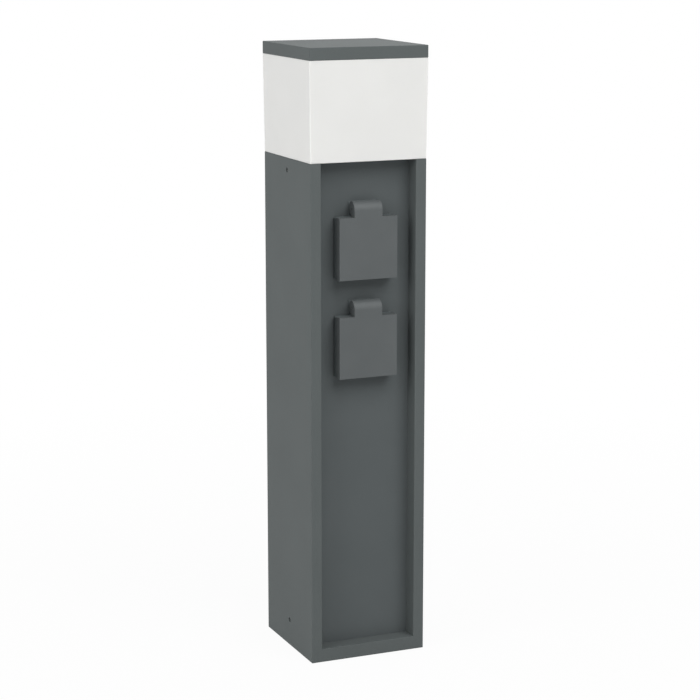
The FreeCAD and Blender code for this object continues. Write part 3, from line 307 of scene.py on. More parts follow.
def insulation(name, dark, light):
    """Extruded PVC on a wire: a smooth, waxy skin with faint waves."""
    made, tree, place = blank(name)
    waves = add(tree, "TexNoise", {"Vector": place, "Scale": per_metre(4), "Detail": 2.0})
    surface(
        tree,
        Base_Color=two_tones(tree, waves, dark, light),
        Roughness=add(tree, "MapRange", {"Value": waves, **MOST_NOISE, "To Min": 0.32, "To Max": 0.42}),
        Normal=add(tree, "Bump", {"Height": waves, "Distance": 0.05 * MM, "Strength": 0.2}),
        IOR=1.53,
        Metallic=0.0,
    )
    return made


FINISHES = {
    # anthracite coats; the panel's copy is a little darker, painted shade for its place in the recess
    "post_coat": coated_metal("powder_coat_column", "#555a5a", "#585d5d"),
    "panel_coat": coated_metal("powder_coat_panel_painted_shade", "#535859", "#565b5c"),
    "cap_coat": coated_metal("powder_coat_cap", "#555a5a", "#585d5d"),
    # polyamide: dull grey lids and flanges, and near-black wells. The flanges' copy is lighter than the
    # lids', painted light to lift their shaded sides
    "lid_plastic": moulded_plastic("polyamide_lid", "#4e5253", "#525657", rough=0.58, grain=0.8),
    "flange_plastic": moulded_plastic("polyamide_flange_painted_light", "#545b5c", "#596061", rough=0.58, grain=0.8),
    "well_plastic": moulded_plastic("polyamide_well", "#2b2f30", "#303435", rough=0.5, grain=0.8),
    # the smoother, paler mouldings inside
    "terminal_plastic": moulded_plastic("thermoset_terminal", "#cfcec6", "#d9d8d1", rough=0.45, grain=1.2),
    "driver_white": moulded_plastic("polycarbonate_driver", "#e0dfda", "#e9e8e3", rough=0.4, grain=1.0),
    # the board's white lacquer and the lights' yellow silicone, which flow out smooth before they set
    "board_white": moulded_plastic(
        "solder_mask_board", "#e6e7e5", "#f0f0ee", rough=0.3, grain=2.0, depth=0.02
    ),
    "led_yellow": moulded_plastic(
        "phosphor_silicone_led", "#dfc95a", "#ecd873", rough=0.35, grain=0.6, depth=0.02
    ),
    "seal_rubber": soft_rubber("epdm_seal", "#161616", "#242424"),
    "opal_plastic": opal_acrylic("opal_acrylic_lantern", "#d8d8d6", "#dbdbd9"),
    # turned, plated, drawn, rolled and cast metals, each with the marks of how it was made
    "stainless_steel": bare_metal(
        "turned_stainless_steel", "#b9b8b4", "#c9c8c5", rough=0.3, stretch=(1, 1, 8)
    ),
    "zinc_steel": bare_metal("zinc_plated_steel", "#b4b8ba", "#cbcdcd", rough=0.36, line=1.5),
    "contact_brass": bare_metal("drawn_brass", "#c9a557", "#d6b86e", rough=0.3, stretch=(1, 8, 1)),
    "tinned_metal": bare_metal("tinned_bronze", "#c4c3bd", "#d5d4cf", rough=0.34, stretch=(1, 6, 1)),
    "cast_aluminium": bare_metal("die_cast_aluminium", "#a9abad", "#bcbdbf", rough=0.5, line=2.0),
    "brown_insulation": insulation("pvc_brown", "#55311c", "#623a22"),
    "blue_insulation": insulation("pvc_blue", "#1c5a9e", "#2468b0"),
    "green_insulation": insulation("pvc_green_yellow", "#3f8a2c", "#4c9a34"),
}
for part in frame["record"]["subparts"]:
    mesh = frame["nodes"][part["node"]].data
    mesh.materials.clear()
    mesh.materials.append(FINISHES[part["material_slot"]])


# Sizes of the visible pieces, in millimetres. Depths are places along Y, and an outlet's heights
# count from its middle.

# Column
HALF = 50.0
COLUMN_TOP = 410.0
COLUMN_WALL = 2.5
RIM_WIDTH = 9.0
RECESS_DEPTH = 14.0
JAMB_WALL = 2.5
SILL_TOP = 11.0
LEDGE_BOTTOM = 8.5
INNER_HALF = HALF - COLUMN_WALL
RECESS_HALF = HALF - RIM_WIDTH
JAMB_BACK = RECESS_HALF + JAMB_WALL
PANEL_FRONT = RECESS_DEPTH - HALF
GUIDE_EDGE = 44.5
GUIDE_FRONT = -33.7
GUIDE_BACK = -31.9
COLUMN_EDGE = 0.5
RECESS_EDGE = 0.6

# Outlet: flange, well and keys
OUTLET_HEIGHTS = {"upper": 340.5, "lower": 260.5}
FLANGE_HALF = 25.0
FLANGE_FRONT = PANEL_FRONT - 6.0
FLANGE_BACK = PANEL_FRONT - 1.0
FLANGE_CORNER = 1.2
WELL_RADIUS = 19.5
WELL_FLOOR = -27.1
WELL_BACK = -24.1
MOUTH_RADIUS = 19.8
MOUTH_DEPTH = 4.0
MOUTH_STEP = 0.3
TUBE_RADIUS = 21.5
RIM_FRONT = -44.6
KEY_WIDTH = 5.0
KEY_TOP = 18.3
KEY_FRONT = -40.6
KEY_ROOT = WELL_RADIUS + 1.0

# Lid and its tab
LID_FRONT = FLANGE_FRONT - 7.5
LID_BACK = FLANGE_FRONT - 0.2
LID_WALL = 2.0
LID_FACE_EDGE = 0.6
LID_FACE_ANGLE = math.radians(50)
LID_BACK_EDGE = 0.25
TAB_HALF = 12.0
TAB_TOP = 37.8
TAB_ROUND = 7.4
KNUCKLE = 5.7
KNUCKLE_HEIGHT = 31.9
ROOF_ANGLE = math.radians(36.0)
ROOF_WALL = 1.3
ROOF_REACH = 0.15
TAB_EDGE_REACH = 0.8

# Lid seal
SEAL_INNER = 18.4
SEAL_OUTER = 21.8
SEAL_BACK = -48.1
SEAL_FRONT = -46.2
SEAL_CHAMFER = (0.3, 0.4)
LIP_MIDDLE = 20.6
LIP_ROUND = ((0.9, -45.8), (0.6, -45.2), (0.2, -44.95))

# Hinge: pin, wall, pedestal and lug
PIN_Y = -43.5
PIN_HEIGHT = 31.3
PIN_RADIUS = 1.2
PIN_HALF = 11.0
PIN_CHAMFER = 0.25
EYE_GAP = 0.05
HINGE_BACK = -36.3
HINGE_FOOT = 24.3
HINGE_WALL_FRONT = -36.75
HINGE_WALL_TOP = 37.0
HINGE_WALL_EDGE = 0.15
PEDESTAL_TOP = 25.3
PEDESTAL_EDGE = 0.25
LUG_HALF = 3.5
LUG_RADIUS = 2.6
LUG_FLARE = 0.3
LUG_FOOT = PEDESTAL_TOP - 0.2
LUG_GAP = 0.02
LUG_EDGE = 0.2

# Springs
WIRE = 0.3
COIL = 1.85
SPRING_START = 3.8
SPRING_LENGTH = 4.8
SPRING_TURNS = 6.5
FREE_LEG_END = 25.6

# Insert and earth clip
INSERT_RADIUS = 19.3
INSERT_LAP = 0.3
INSERT_EDGE = 0.35
CENTRE_GAP = 0.1
BLOCK_FRONT = -22.1
BLOCK_BACK = -10.1
CONTACT_X = 9.5
PIN_HOLE = 2.6
SLOT_HALF = 2.7
SLOT_FOOT = 17.4
STRIP = 0.8
STRIP_HALF = 2.5
STRIP_BEND = 1.6
STRIP_EDGE = 0.15
ARM_TIP = -39.6
ARM_TIP_HEIGHT = 17.8
ARM_BOW = -33.4
ARM_BOW_HEIGHT = 16.2
ARM_HEIGHT = 18.0
ARM_BEND = WELL_FLOOR - 1.0
CLAMP_HALF = 3.5
CLAMP_BACK = -5.1

# Screws
SCREW_HALF = 19.0
SEAT_RADIUS = 3.0
SEAT_LIP = 0.1
SEAT_DEPTH = 1.6
SEAT_FLOOR = 3.0
SEAT_WINDOW = 8.0
SHANK_RADIUS = 1.5
CENTRE_HEAD = 3.2
CROSS_SLOT = 0.4
CROSS_DEPTH = 0.8
CROSS_TAPER = 0.85
HEAD_CROWN = 0.8
DOME_STEP = 0.06
SIDE_SCREW = 2.0
SIDE_SCREW_HEIGHTS = (22.0, 400.0)
SIDE_SCREW_LENGTH = 9.0
SIDE_SCREW_CHAMFER = 0.25
SIDE_SCREW_CONE = 0.5
SIDE_SCREW_SINK = 0.9
KEY_SOCKET = 1.6
KEY_SOCKET_DEPTH = 1.5
SIDE_HOLE_GAP = 0.05
SIDE_HOLE_DEPTH = 2.2
SIDE_HOLE_WINDOW = 6.0

# Lantern and cap
DIFFUSER_FOOT = 49.9
DIFFUSER_CORNER = 0.6
DIFFUSER_WALL = 3.0
DIFFUSER_LEDGE = 7.5
LEDGE_UNDERSIDE = 5.0
CAP_HALF = 50.8
CAP_BOTTOM = 490.0
CAP_TOP = 500.0
CAP_SKIRT = 3.2
CAP_EDGE = 0.5

# Fineness of the meshes. Corners nearer than CLOSE are one.
CLOSE = 0.001
PROBE = 0.01
FINE_EDGE = 0.4
SHARP_ANGLE = math.radians(60)
SMOOTH_ANGLE = math.radians(32)
LEVEL_ANGLE = math.radians(1)
TAB_STEPS = 12
ROOF_STEPS = 5
HEEL_STEPS = 18
LUG_STEPS = 16
COIL_STEPS = 24
WIRE_SIDES = 10
SEAT_SIDES = 20
SCREW_SIDES = 24
PIN_SIDES = 32
WELL_SIDES = 64
SEAL_SIDES = 96


# Shapes: drawn in millimetres with mesh operators, and scaled to metres when they are finished

def once_each(parts):
    """Parts of a mesh without repeats, in the order they come, so that each run draws the same mesh."""
    return list(dict.fromkeys(parts))


def edges_round(faces):
    """The edges of faces, once each."""
    return once_each(e for f in faces for e in f.edges)


def corners_of(parts):
    """The corners of edges or faces, once each."""
    return once_each(v for p in parts for v in p.verts)


def all_of(shape):
    """A whole shape, as an operator takes it."""
    return shape.verts[:] + shape.edges[:] + shape.faces[:]


def verts_in(made):
    """The vertices in what an operator made."""
    return [g for g in made if isinstance(g, bmesh.types.BMVert)]


def edges_in(made):
    """The edges in what an operator made."""
    return [g for g in made if isinstance(g, bmesh.types.BMEdge)]


def faces_in(made):
    """The faces in what an operator made."""
    return [g for g in made if isinstance(g, bmesh.types.BMFace)]


def cut(shape, parts, axis, place):
    """Cuts parts of a shape across an axis."""
    bmesh.ops.bisect_plane(shape, geom=parts, dist=CLOSE, plane_co=axis * place, plane_no=axis)


def sheet(half_width, half_height, cuts_u=(), cuts_v=()):
    """A level sheet round the origin, cut along lines across u (x) and v (y)."""
    shape = bmesh.new()
    bmesh.ops.create_grid(shape, x_segments=1, y_segments=1, size=1)
    bmesh.ops.scale(shape, vec=(half_width, half_height, 1), verts=shape.verts)
    for axis, places in ((X_AXIS, cuts_u), (Y_AXIS, cuts_v)):
        for place in places:
            cut(shape, all_of(shape), axis, place)
    return shape


def turn(shape, degrees, axis):
    """Turns a whole shape about the origin."""
    rotation = Matrix.Rotation(math.radians(degrees), 3, axis)
    bmesh.ops.rotate(shape, cent=(0, 0, 0), matrix=rotation, verts=shape.verts)


def move(shape, x, y, z):
    """Shifts a whole shape."""
    bmesh.ops.translate(shape, vec=(x, y, z), verts=shape.verts)


def raise_faces(shape, faces, step):
    """Extrudes faces as one block."""
    made = bmesh.ops.extrude_face_region(shape, geom=faces)["geom"]
    bmesh.ops.translate(shape, vec=step, verts=verts_in(made))


def grow_loop(shape, edges, place):
    """Extrudes edges, puts their new corners in place and returns the new edges on the far side."""
    made = bmesh.ops.extrude_edge_only(shape, edges=edges)["geom"]
    fresh = set(verts_in(made))
    for vert in fresh:
        vert.co = place(vert.co)
    return [e for e in edges_in(made) if fresh.issuperset(e.verts)]


def grow_edges(shape, edges, step):
    """Extrudes edges along a step and returns the new edges on the far side."""
    return grow_loop(shape, edges, lambda p: p + Vector(step))


def round_edges(shape, edges, offset, segments, clamp=False):
    """Rounds edges over."""
    bmesh.ops.bevel(
        shape,
        geom=edges,
        offset=offset,
        segments=segments,
        profile=0.5,
        affect="EDGES",
        material=-1,
        clamp_overlap=clamp,
    )


def everywhere(point):
    """Every edge of a shape."""
    return True


def soften(shape, offset, segments, test=everywhere, angle=SHARP_ANGLE):
    """Rounds the sharp edges that pass a test of both their ends."""
    shape.normal_update()
    sharp = [
        e
        for e in shape.edges
        if len(e.link_faces) == 2
        and e.calc_face_angle() > angle
        and test(e.verts[0].co)
        and test(e.verts[1].co)
    ]
    round_edges(shape, sharp, offset, segments, clamp=True)


def close_up(shape):
    """Merges doubles and turns every face outwards."""
    bmesh.ops.remove_doubles(shape, verts=shape.verts, dist=CLOSE)
    bmesh.ops.recalc_face_normals(shape, faces=shape.faces)


def lathed(profile, sides, solid=False):
    """An outline of (radius, place along Y) spun right round Y. A ring's outline is closed, and that of
    a solid starts and ends on the axis."""
    shape = bmesh.new()
    corners = [shape.verts.new((radius, place, 0)) for radius, place in profile]
    pairs = list(zip(corners, corners[1:]))
    if not solid:
        pairs.append((corners[-1], corners[0]))
    outline = [shape.edges.new(pair) for pair in pairs]
    bmesh.ops.spin(
        shape,
        geom=corners + outline,
        cent=(0, 0, 0),
        axis=Y_AXIS,
        angle=2 * math.pi,
        steps=sides,
        use_merge=True,
    )
    close_up(shape)
    return shape


def hoop(shape, radius, sides, normal, place):
    """A ring of edges round a point, square to an axis."""
    ring = bmesh.ops.create_circle(shape, segments=sides, radius=radius)["verts"]
    rotation = Z_AXIS.rotation_difference(normal).to_matrix()
    bmesh.ops.rotate(shape, cent=(0, 0, 0), matrix=rotation, verts=ring)
    bmesh.ops.translate(shape, vec=place, verts=ring)
    return once_each(e for v in ring for e in v.link_edges)


def together(shapes):
    """One mesh from several closed ones."""
    whole = bmesh.new()
    for shape in shapes:
        carrier = bpy.data.meshes.new("carrier")
        shape.to_mesh(carrier)
        shape.free()
        whole.from_mesh(carrier)
        bpy.data.meshes.remove(carrier)
    return whole


def mirrored(shape, axis):
    """The same shape on the other side of the origin."""
    twin = shape.copy()
    flip = Vector((1, 1, 1)) - 2 * axis
    bmesh.ops.scale(twin, vec=flip, verts=twin.verts)
    bmesh.ops.reverse_faces(twin, faces=twin.faces)
    return twin


def piece(name, shape, slot, body, node):
    """A finished piece: it takes a slot's finish, rides on a body and stands for a CAD node."""
    bmesh.ops.scale(shape, vec=(MM, MM, MM), verts=shape.verts)
    mesh = bpy.data.meshes.new(name)
    shape.to_mesh(mesh)
    shape.free()
    mesh.shade_smooth()
    mesh.set_sharp_from_angle(angle=SMOOTH_ANGLE)
    mesh.materials.append(FINISHES[slot])
    made = bpy.data.objects.new(name, mesh)
    bpy.context.scene.collection.objects.link(made)
    weigh = made.modifiers.new("weighted_normals", "WEIGHTED_NORMAL")
    weigh.keep_sharp = True
    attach(made, body)
    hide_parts(node)


# Where the corners of a grown loop go

def level_ring(radius, z):
    """On a round outline at a height."""
    return lambda p: Vector((p.x, p.y, 0)).normalized() * radius + Z_AXIS * z


def level_share(share, z):
    """Scaled towards the middle, at a height."""
    return lambda p: Vector((p.x * share, p.y * share, z))


def upright_ring(radius, y, centre=Vector((0, 0, 0))):
    """On a round outline at a depth."""
    return lambda p: centre + (Vector((p.x, 0, p.z)) - centre).normalized() * radius + Y_AXIS * y


def upright_square(half, y):
    """On a square outline at a depth."""
    return lambda p: Vector((p.x, 0, p.z)) * half / max(abs(p.x), abs(p.z)) + Y_AXIS * y


# Lid: a shallow tray with a rounded tab over the hinge pin

def lid_skin():
    """The lid: its face runs up into the tab's round front, and two cheeks reach back over the pin."""
    shape = sheet(FLANGE_HALF, FLANGE_HALF, (-TAB_HALF, TAB_HALF))
    turn(shape, 90, X_AXIS)
    move(shape, 0, LID_FRONT, 0)
    rim = [e for e in shape.edges if e.is_boundary]
    brow = [
        e
        for e in rim
        if all(v.co.z > FLANGE_HALF - CLOSE and abs(v.co.x) < TAB_HALF + CLOSE for v in e.verts)
    ]
    # the skirt, all round but under the tab
    skirt = [e for e in rim if e not in brow]
    grow_edges(shape, skirt, (0, LID_BACK - LID_FRONT, 0))
    arc_z = TAB_TOP - TAB_ROUND
    arc_y = LID_FRONT + TAB_ROUND
    top = grow_edges(shape, brow, (0, 0, arc_z - FLANGE_HALF))
    # round to over the pin, then round the pin
    for centre, angle, steps in (
        ((0, arc_y, arc_z), math.acos((arc_y - PIN_Y) / TAB_ROUND), TAB_STEPS),
        ((0, PIN_Y, KNUCKLE_HEIGHT), ROOF_ANGLE, ROOF_STEPS),
    ):
        made = bmesh.ops.spin(
            shape, geom=top + corners_of(top), cent=centre, axis=-X_AXIS, angle=angle, steps=steps
        )
        top = edges_in(made["geom_last"])
    for side in (-1, 1):
        lid_cheek(shape, side, [v for v in corners_of(top) if v.co.x * side > 0])
    close_up(shape)
    return shape


def lid_cheek(shape, side, last):
    """One side of the tab: on round the pin, back to the skirt, and filled up to the pin's eye."""
    x = side * TAB_HALF
    heel = math.acos(-math.sqrt(1 - ((LID_BACK - PIN_Y) / KNUCKLE) ** 2)) - ROOF_ANGLE
    centre = (0, PIN_Y, KNUCKLE_HEIGHT)
    made = bmesh.ops.spin(shape, geom=last, cent=centre, axis=-X_AXIS, angle=heel, steps=HEEL_STEPS)
    end = verts_in(made["geom_last"])[0]
    foot = min(
        (v for v in shape.verts if v.co.x * side > TAB_HALF - CLOSE and v is not end),
        key=lambda v: (v.co - Vector((x, LID_BACK, FLANGE_HALF))).length,
    )
    shape.edges.new((end, foot))
    outline = [
        e
        for e in shape.edges
        if len(e.link_faces) < 2 and all(abs(v.co.x - x) < CLOSE and v.co.z > 0 for v in e.verts)
    ]
    eye = hoop(shape, PIN_RADIUS + EYE_GAP, SCREW_SIDES, X_AXIS, (x, PIN_Y, PIN_HEIGHT))
    bmesh.ops.triangle_fill(shape, edges=outline + eye)


def lid_shape():
    """The lid's skin with its wall behind it, and soft edges."""
    shape = lid_skin()
    bmesh.ops.solidify(shape, geom=all_of(shape), thickness=LID_WALL)
    close_up(shape)
    # the roof behind the pin is thinner than the walls, so that it swings clear of the lug
    for vert in shape.verts:
        arm = Vector((0, vert.co.y - PIN_Y, vert.co.z - KNUCKLE_HEIGHT))
        if arm.z > 0 and abs(arm.length - KNUCKLE + LID_WALL) < ROOF_REACH:
            vert.co += arm * (LID_WALL - ROOF_WALL) / arm.length
    soften(shape, LID_FACE_EDGE, 3, on_lid_face, LID_FACE_ANGLE)
    soften(shape, LID_BACK_EDGE, 2)
    return shape


def on_lid_face(point):
    """True on the lid's face and on the two edges of the tab's round front and roof, but not on those
    of its inner wall."""
    edge = abs(abs(point.x) - TAB_HALF) < CLOSE and point.z > TAB_TOP - TAB_ROUND - CLOSE
    arm = Vector((0, point.y - PIN_Y, point.z - KNUCKLE_HEIGHT))
    tab = edge and arm.length > KNUCKLE - TAB_EDGE_REACH and arm.y < KNUCKLE / 2
    return tab or point.y < LID_FRONT + CLOSE


def lid_seal_shape():
    """A moulded ring with a flat back and a round lip that meets the well's rim."""
    inward, back = SEAL_CHAMFER
    profile = [(SEAL_INNER, SEAL_BACK), (SEAL_OUTER, SEAL_BACK), (SEAL_OUTER, SEAL_FRONT)]
    profile += [(LIP_MIDDLE + half, depth) for half, depth in LIP_ROUND]
    profile += [(LIP_MIDDLE - half, depth) for half, depth in reversed(LIP_ROUND)]
    profile += [(SEAL_INNER + inward, SEAL_FRONT), (SEAL_INNER, SEAL_FRONT - back)]
    return lathed(profile, SEAL_SIDES)


# Hinge: springs, pin, blocks and lug

def springs_shape():
    """Two closely wound torsion springs round the pin, left and right of the lug. Each has a leg down
    on the pedestal and one down in the tab."""
    shape = bmesh.new()
    # the wire's section starts behind the pin, where the wire runs up and down
    start = (SPRING_START + WIRE, PIN_Y + COIL, PIN_HEIGHT)
    first = hoop(shape, WIRE, WIRE_SIDES, Z_AXIS, start)
    leg = grow_edges(shape, first, (0, 0, 0))
    steps = round(SPRING_TURNS * COIL_STEPS)
    made = bmesh.ops.spin(
        shape,
        geom=corners_of(first) + first,
        cent=(0, PIN_Y, PIN_HEIGHT),
        axis=X_AXIS,
        dvec=((SPRING_LENGTH - 2 * WIRE) / steps, 0, 0),
        angle=2 * math.pi * SPRING_TURNS,
        steps=steps,
    )
    bmesh.ops.translate(shape, vec=(0, 0, PEDESTAL_TOP - PIN_HEIGHT), verts=corners_of(leg))
    free = grow_edges(shape, edges_in(made["geom_last"]), (0, 0, FREE_LEG_END - PIN_HEIGHT))
    for end in (leg, free):
        bmesh.ops.contextual_create(shape, geom=end)
    close_up(shape)
    return together([shape, mirrored(shape, X_AXIS)])


def hinge_pin_shape():
    """A turned pin with chamfered ends, along the hinge."""
    profile = (
        (0, -PIN_HALF),
        (PIN_RADIUS - PIN_CHAMFER, -PIN_HALF),
        (PIN_RADIUS, PIN_CHAMFER - PIN_HALF),
        (PIN_RADIUS, PIN_HALF - PIN_CHAMFER),
        (PIN_RADIUS - PIN_CHAMFER, PIN_HALF),
        (0, PIN_HALF),
    )
    shape = lathed(profile, PIN_SIDES, solid=True)
    turn(shape, 90, Z_AXIS)
    move(shape, 0, PIN_Y, PIN_HEIGHT)
    return shape


def hinge_block(front, top, edge):
    """A block right across the hinge, from a front face to the panel's front and up from the flange."""
    shape = sheet(TAB_HALF, (HINGE_BACK - front) / 2)
    move(shape, 0, (HINGE_BACK + front) / 2, HINGE_FOOT)
    raise_faces(shape, shape.faces[:], (0, 0, top - HINGE_FOOT))
    close_up(shape)
    soften(shape, edge, 3)
    return shape


def lug_shape():
    """The lug between the two springs: a round eye on a web that narrows down to the pedestal."""
    shape = bmesh.new()
    start = shape.verts.new((-LUG_HALF, PIN_Y - LUG_RADIUS, PIN_HEIGHT))
    centre = (0, PIN_Y, PIN_HEIGHT)
    made = bmesh.ops.spin(shape, geom=[start], cent=centre, axis=-X_AXIS, angle=math.pi, steps=LUG_STEPS)
    last = verts_in(made["geom_last"])[0]
    back = shape.verts.new((-LUG_HALF, PIN_Y + LUG_RADIUS + LUG_FLARE, LUG_FOOT))
    front = shape.verts.new((-LUG_HALF, FLANGE_FRONT, LUG_FOOT))
    for pair in ((last, back), (back, front), (front, start)):
        shape.edges.new(pair)
    outline = shape.edges[:]
    eye = hoop(shape, PIN_RADIUS + LUG_GAP, SEAT_SIDES, X_AXIS, (-LUG_HALF, PIN_Y, PIN_HEIGHT))
    bmesh.ops.triangle_fill(shape, edges=outline + eye)
    raise_faces(shape, shape.faces[:], (2 * LUG_HALF, 0, 0))
    close_up(shape)
    soften(shape, LUG_EDGE, 2)
    return shape


# Outlet: the flange, the plug's well, and what lies in it

def screw_seat(shape, x, z):
    """Opens a countersunk hole in the flange's front, in one of its corners."""
    window = [f for f in shape.faces if in_seat_window(f, x, z)]
    inner = [e for e in edges_round(window) if all(f in window for f in e.link_faces)]
    outline = [e for e in edges_round(window) if e not in inner]
    bmesh.ops.delete(shape, geom=window, context="FACES_ONLY")
    bmesh.ops.delete(shape, geom=inner, context="EDGES_FACES")
    centre = Vector((x, 0, z))
    loop = hoop(shape, SEAT_RADIUS, SEAT_SIDES, Y_AXIS, centre + Y_AXIS * FLANGE_FRONT)
    bmesh.ops.bridge_loops(shape, edges=outline + loop)
    for radius, depth in (
        (SEAT_RADIUS - SEAT_LIP, SEAT_LIP),
        (SHANK_RADIUS + SEAT_LIP, SEAT_DEPTH),
        (SHANK_RADIUS + SEAT_LIP, SEAT_FLOOR),
    ):
        loop = grow_loop(shape, loop, upright_ring(radius, FLANGE_FRONT + depth, centre))
    bmesh.ops.contextual_create(shape, geom=loop)


def in_seat_window(face, x, z):
    """True on the part of the flange's front that a screw's seat opens, in the corner towards x and z."""
    middle = face.calc_center_median()
    level = abs(face.normal.y) > 0.9 and abs(middle.y - FLANGE_FRONT) < CLOSE
    corner = middle.x * x > 0 and middle.z * z > 0
    return level and corner and abs(abs(middle.x) - abs(middle.z)) < SEAT_WINDOW


def outlet_shape():
    """The flange, the plug's well with its rim and two keys, and the hinge's wall, pedestal and lug."""
    shape = bmesh.new()
    bmesh.ops.create_circle(shape, segments=WELL_SIDES, radius=WELL_RADIUS)
    turn(shape, 90, X_AXIS)
    move(shape, 0, WELL_BACK, 0)
    first = shape.edges[:]
    loop = first
    for place in (
        upright_ring(WELL_RADIUS, RIM_FRONT + MOUTH_DEPTH + MOUTH_STEP),
        upright_ring(MOUTH_RADIUS, RIM_FRONT + MOUTH_DEPTH),
        upright_ring(MOUTH_RADIUS, RIM_FRONT),
        upright_ring(TUBE_RADIUS, RIM_FRONT),
        upright_ring(TUBE_RADIUS, FLANGE_FRONT),
        upright_square(FLANGE_HALF, FLANGE_FRONT),
        upright_square(FLANGE_HALF, FLANGE_BACK),
        upright_ring(TUBE_RADIUS, FLANGE_BACK),
        upright_ring(TUBE_RADIUS, WELL_BACK),
    ):
        loop = grow_loop(shape, loop, place)
    bmesh.ops.bridge_loops(shape, edges=first + loop)
    close_up(shape)
    for x in (-SCREW_HALF, SCREW_HALF):
        for z in (-SCREW_HALF, SCREW_HALF):
            screw_seat(shape, x, z)
    corners = [e for e in shape.edges if all(on_flange_corner(v.co) for v in e.verts)]
    round_edges(shape, corners, FLANGE_CORNER, 5)
    soften(shape, FINE_EDGE, 3, on_flange_edge)
    soften(shape, FINE_EDGE, 3, lambda p: p.y < RIM_FRONT + CLOSE)
    blocks = [
        hinge_block(HINGE_WALL_FRONT, HINGE_WALL_TOP, HINGE_WALL_EDGE),
        hinge_block(FLANGE_FRONT, PEDESTAL_TOP, PEDESTAL_EDGE),
        lug_shape(),
        key_shape(-1),
        key_shape(1),
    ]
    return together([shape] + blocks)


def on_flange_corner(point):
    """True on the flange's four short corner edges."""
    return abs(abs(point.x) - FLANGE_HALF) < CLOSE and abs(abs(point.z) - FLANGE_HALF) < CLOSE


def on_flange_edge(point):
    """True on the flange outside its round tube."""
    return point.y < FLANGE_BACK + CLOSE and max(abs(point.x), abs(point.z)) > TUBE_RADIUS + CLOSE


def key_shape(side):
    """A ridge along the well's wall that keys the plug, rounded all over."""
    shape = sheet((KEY_ROOT - KEY_TOP) / 2, (WELL_FLOOR - KEY_FRONT) / 2)
    move(shape, side * (KEY_ROOT + KEY_TOP) / 2, (WELL_FLOOR + KEY_FRONT) / 2, -KEY_WIDTH / 2)
    raise_faces(shape, shape.faces[:], (0, 0, KEY_WIDTH))
    close_up(shape)
    soften(shape, FINE_EDGE, 3)
    return shape


def insert_shape():
    """The well's floor: a disc with two pin holes, a screw hole, two slots for the earth clip, and a
    rim behind the well's wall."""
    shape = bmesh.new()
    bmesh.ops.create_circle(shape, cap_ends=True, segments=WELL_SIDES, radius=INSERT_RADIUS)
    for axis, reach in ((Y_AXIS, SLOT_FOOT), (X_AXIS, SLOT_HALF)):
        for place in (reach, -reach):
            cut(shape, all_of(shape), axis, place)
    slots = [f for f in shape.faces if in_earth_slot(f.calc_center_median())]
    bmesh.ops.delete(shape, geom=slots, context="FACES")
    inner = [e for e in shape.edges if not e.is_boundary]
    bmesh.ops.delete(shape, geom=inner, context="EDGES_FACES")
    for x, radius in ((-CONTACT_X, PIN_HOLE), (0, CENTRE_HEAD + CENTRE_GAP), (CONTACT_X, PIN_HOLE)):
        hoop(shape, radius, PIN_SIDES, Z_AXIS, (x, 0, 0))
    bmesh.ops.triangle_fill(shape, edges=shape.edges[:], use_beauty=True)
    raise_faces(shape, shape.faces[:], (0, 0, BLOCK_FRONT - WELL_FLOOR))
    close_up(shape)
    turn(shape, -90, X_AXIS)
    move(shape, 0, WELL_FLOOR, 0)
    soften(shape, INSERT_EDGE, 3, lambda p: p.y < WELL_FLOOR + CLOSE)
    inner_rim = INSERT_RADIUS - INSERT_LAP
    profile = (
        (inner_rim, WELL_BACK),
        (TUBE_RADIUS, WELL_BACK),
        (TUBE_RADIUS, BLOCK_FRONT),
        (inner_rim, BLOCK_FRONT),
    )
    return together([shape, lathed(profile, WELL_SIDES)])


def in_earth_slot(point):
    """True where the insert's disc, drawn level, is open for an arm of the earth clip."""
    return abs(point.x) < SLOT_HALF and abs(point.y) > SLOT_FOOT


def earth_clip_shape():
    """One strip of spring bronze with rounded bends: its two ends are bowed arms in the well, and it
    carries a wire clamp behind the block."""
    behind = BLOCK_BACK + STRIP / 2
    route = [
        (ARM_TIP, ARM_TIP_HEIGHT),
        (ARM_BOW, ARM_BOW_HEIGHT),
        (ARM_BEND, ARM_HEIGHT),
        (behind, ARM_HEIGHT),
    ]
    route += [(y, -z) for y, z in reversed(route)]
    shape = bmesh.new()
    ends = [shape.verts.new((x, ARM_TIP, ARM_TIP_HEIGHT)) for x in (-STRIP_HALF, STRIP_HALF)]
    line = [shape.edges.new(ends)]
    for (y0, z0), (y1, z1) in zip(route, route[1:]):
        line = grow_edges(shape, line, (0, y1 - y0, z1 - z0))
    bends = [e for e in shape.edges if len(e.link_faces) == 2]
    round_edges(shape, bends, STRIP_BEND, 6)
    bmesh.ops.recalc_face_normals(shape, faces=shape.faces)
    bmesh.ops.solidify(shape, geom=all_of(shape), thickness=STRIP)
    close_up(shape)
    low = min(v.co.y for v in shape.verts)
    move(shape, 0, ARM_TIP - low, 0)
    soften(shape, STRIP_EDGE, 2)
    clamp = sheet(CLAMP_HALF, CLAMP_HALF)
    raise_faces(clamp, clamp.faces[:], (0, 0, CLAMP_BACK - behind))
    close_up(clamp)
    turn(clamp, -90, X_AXIS)
    move(clamp, 0, behind, 0)
    soften(clamp, FINE_EDGE, 3)
    return together([shape, clamp])


# Screws

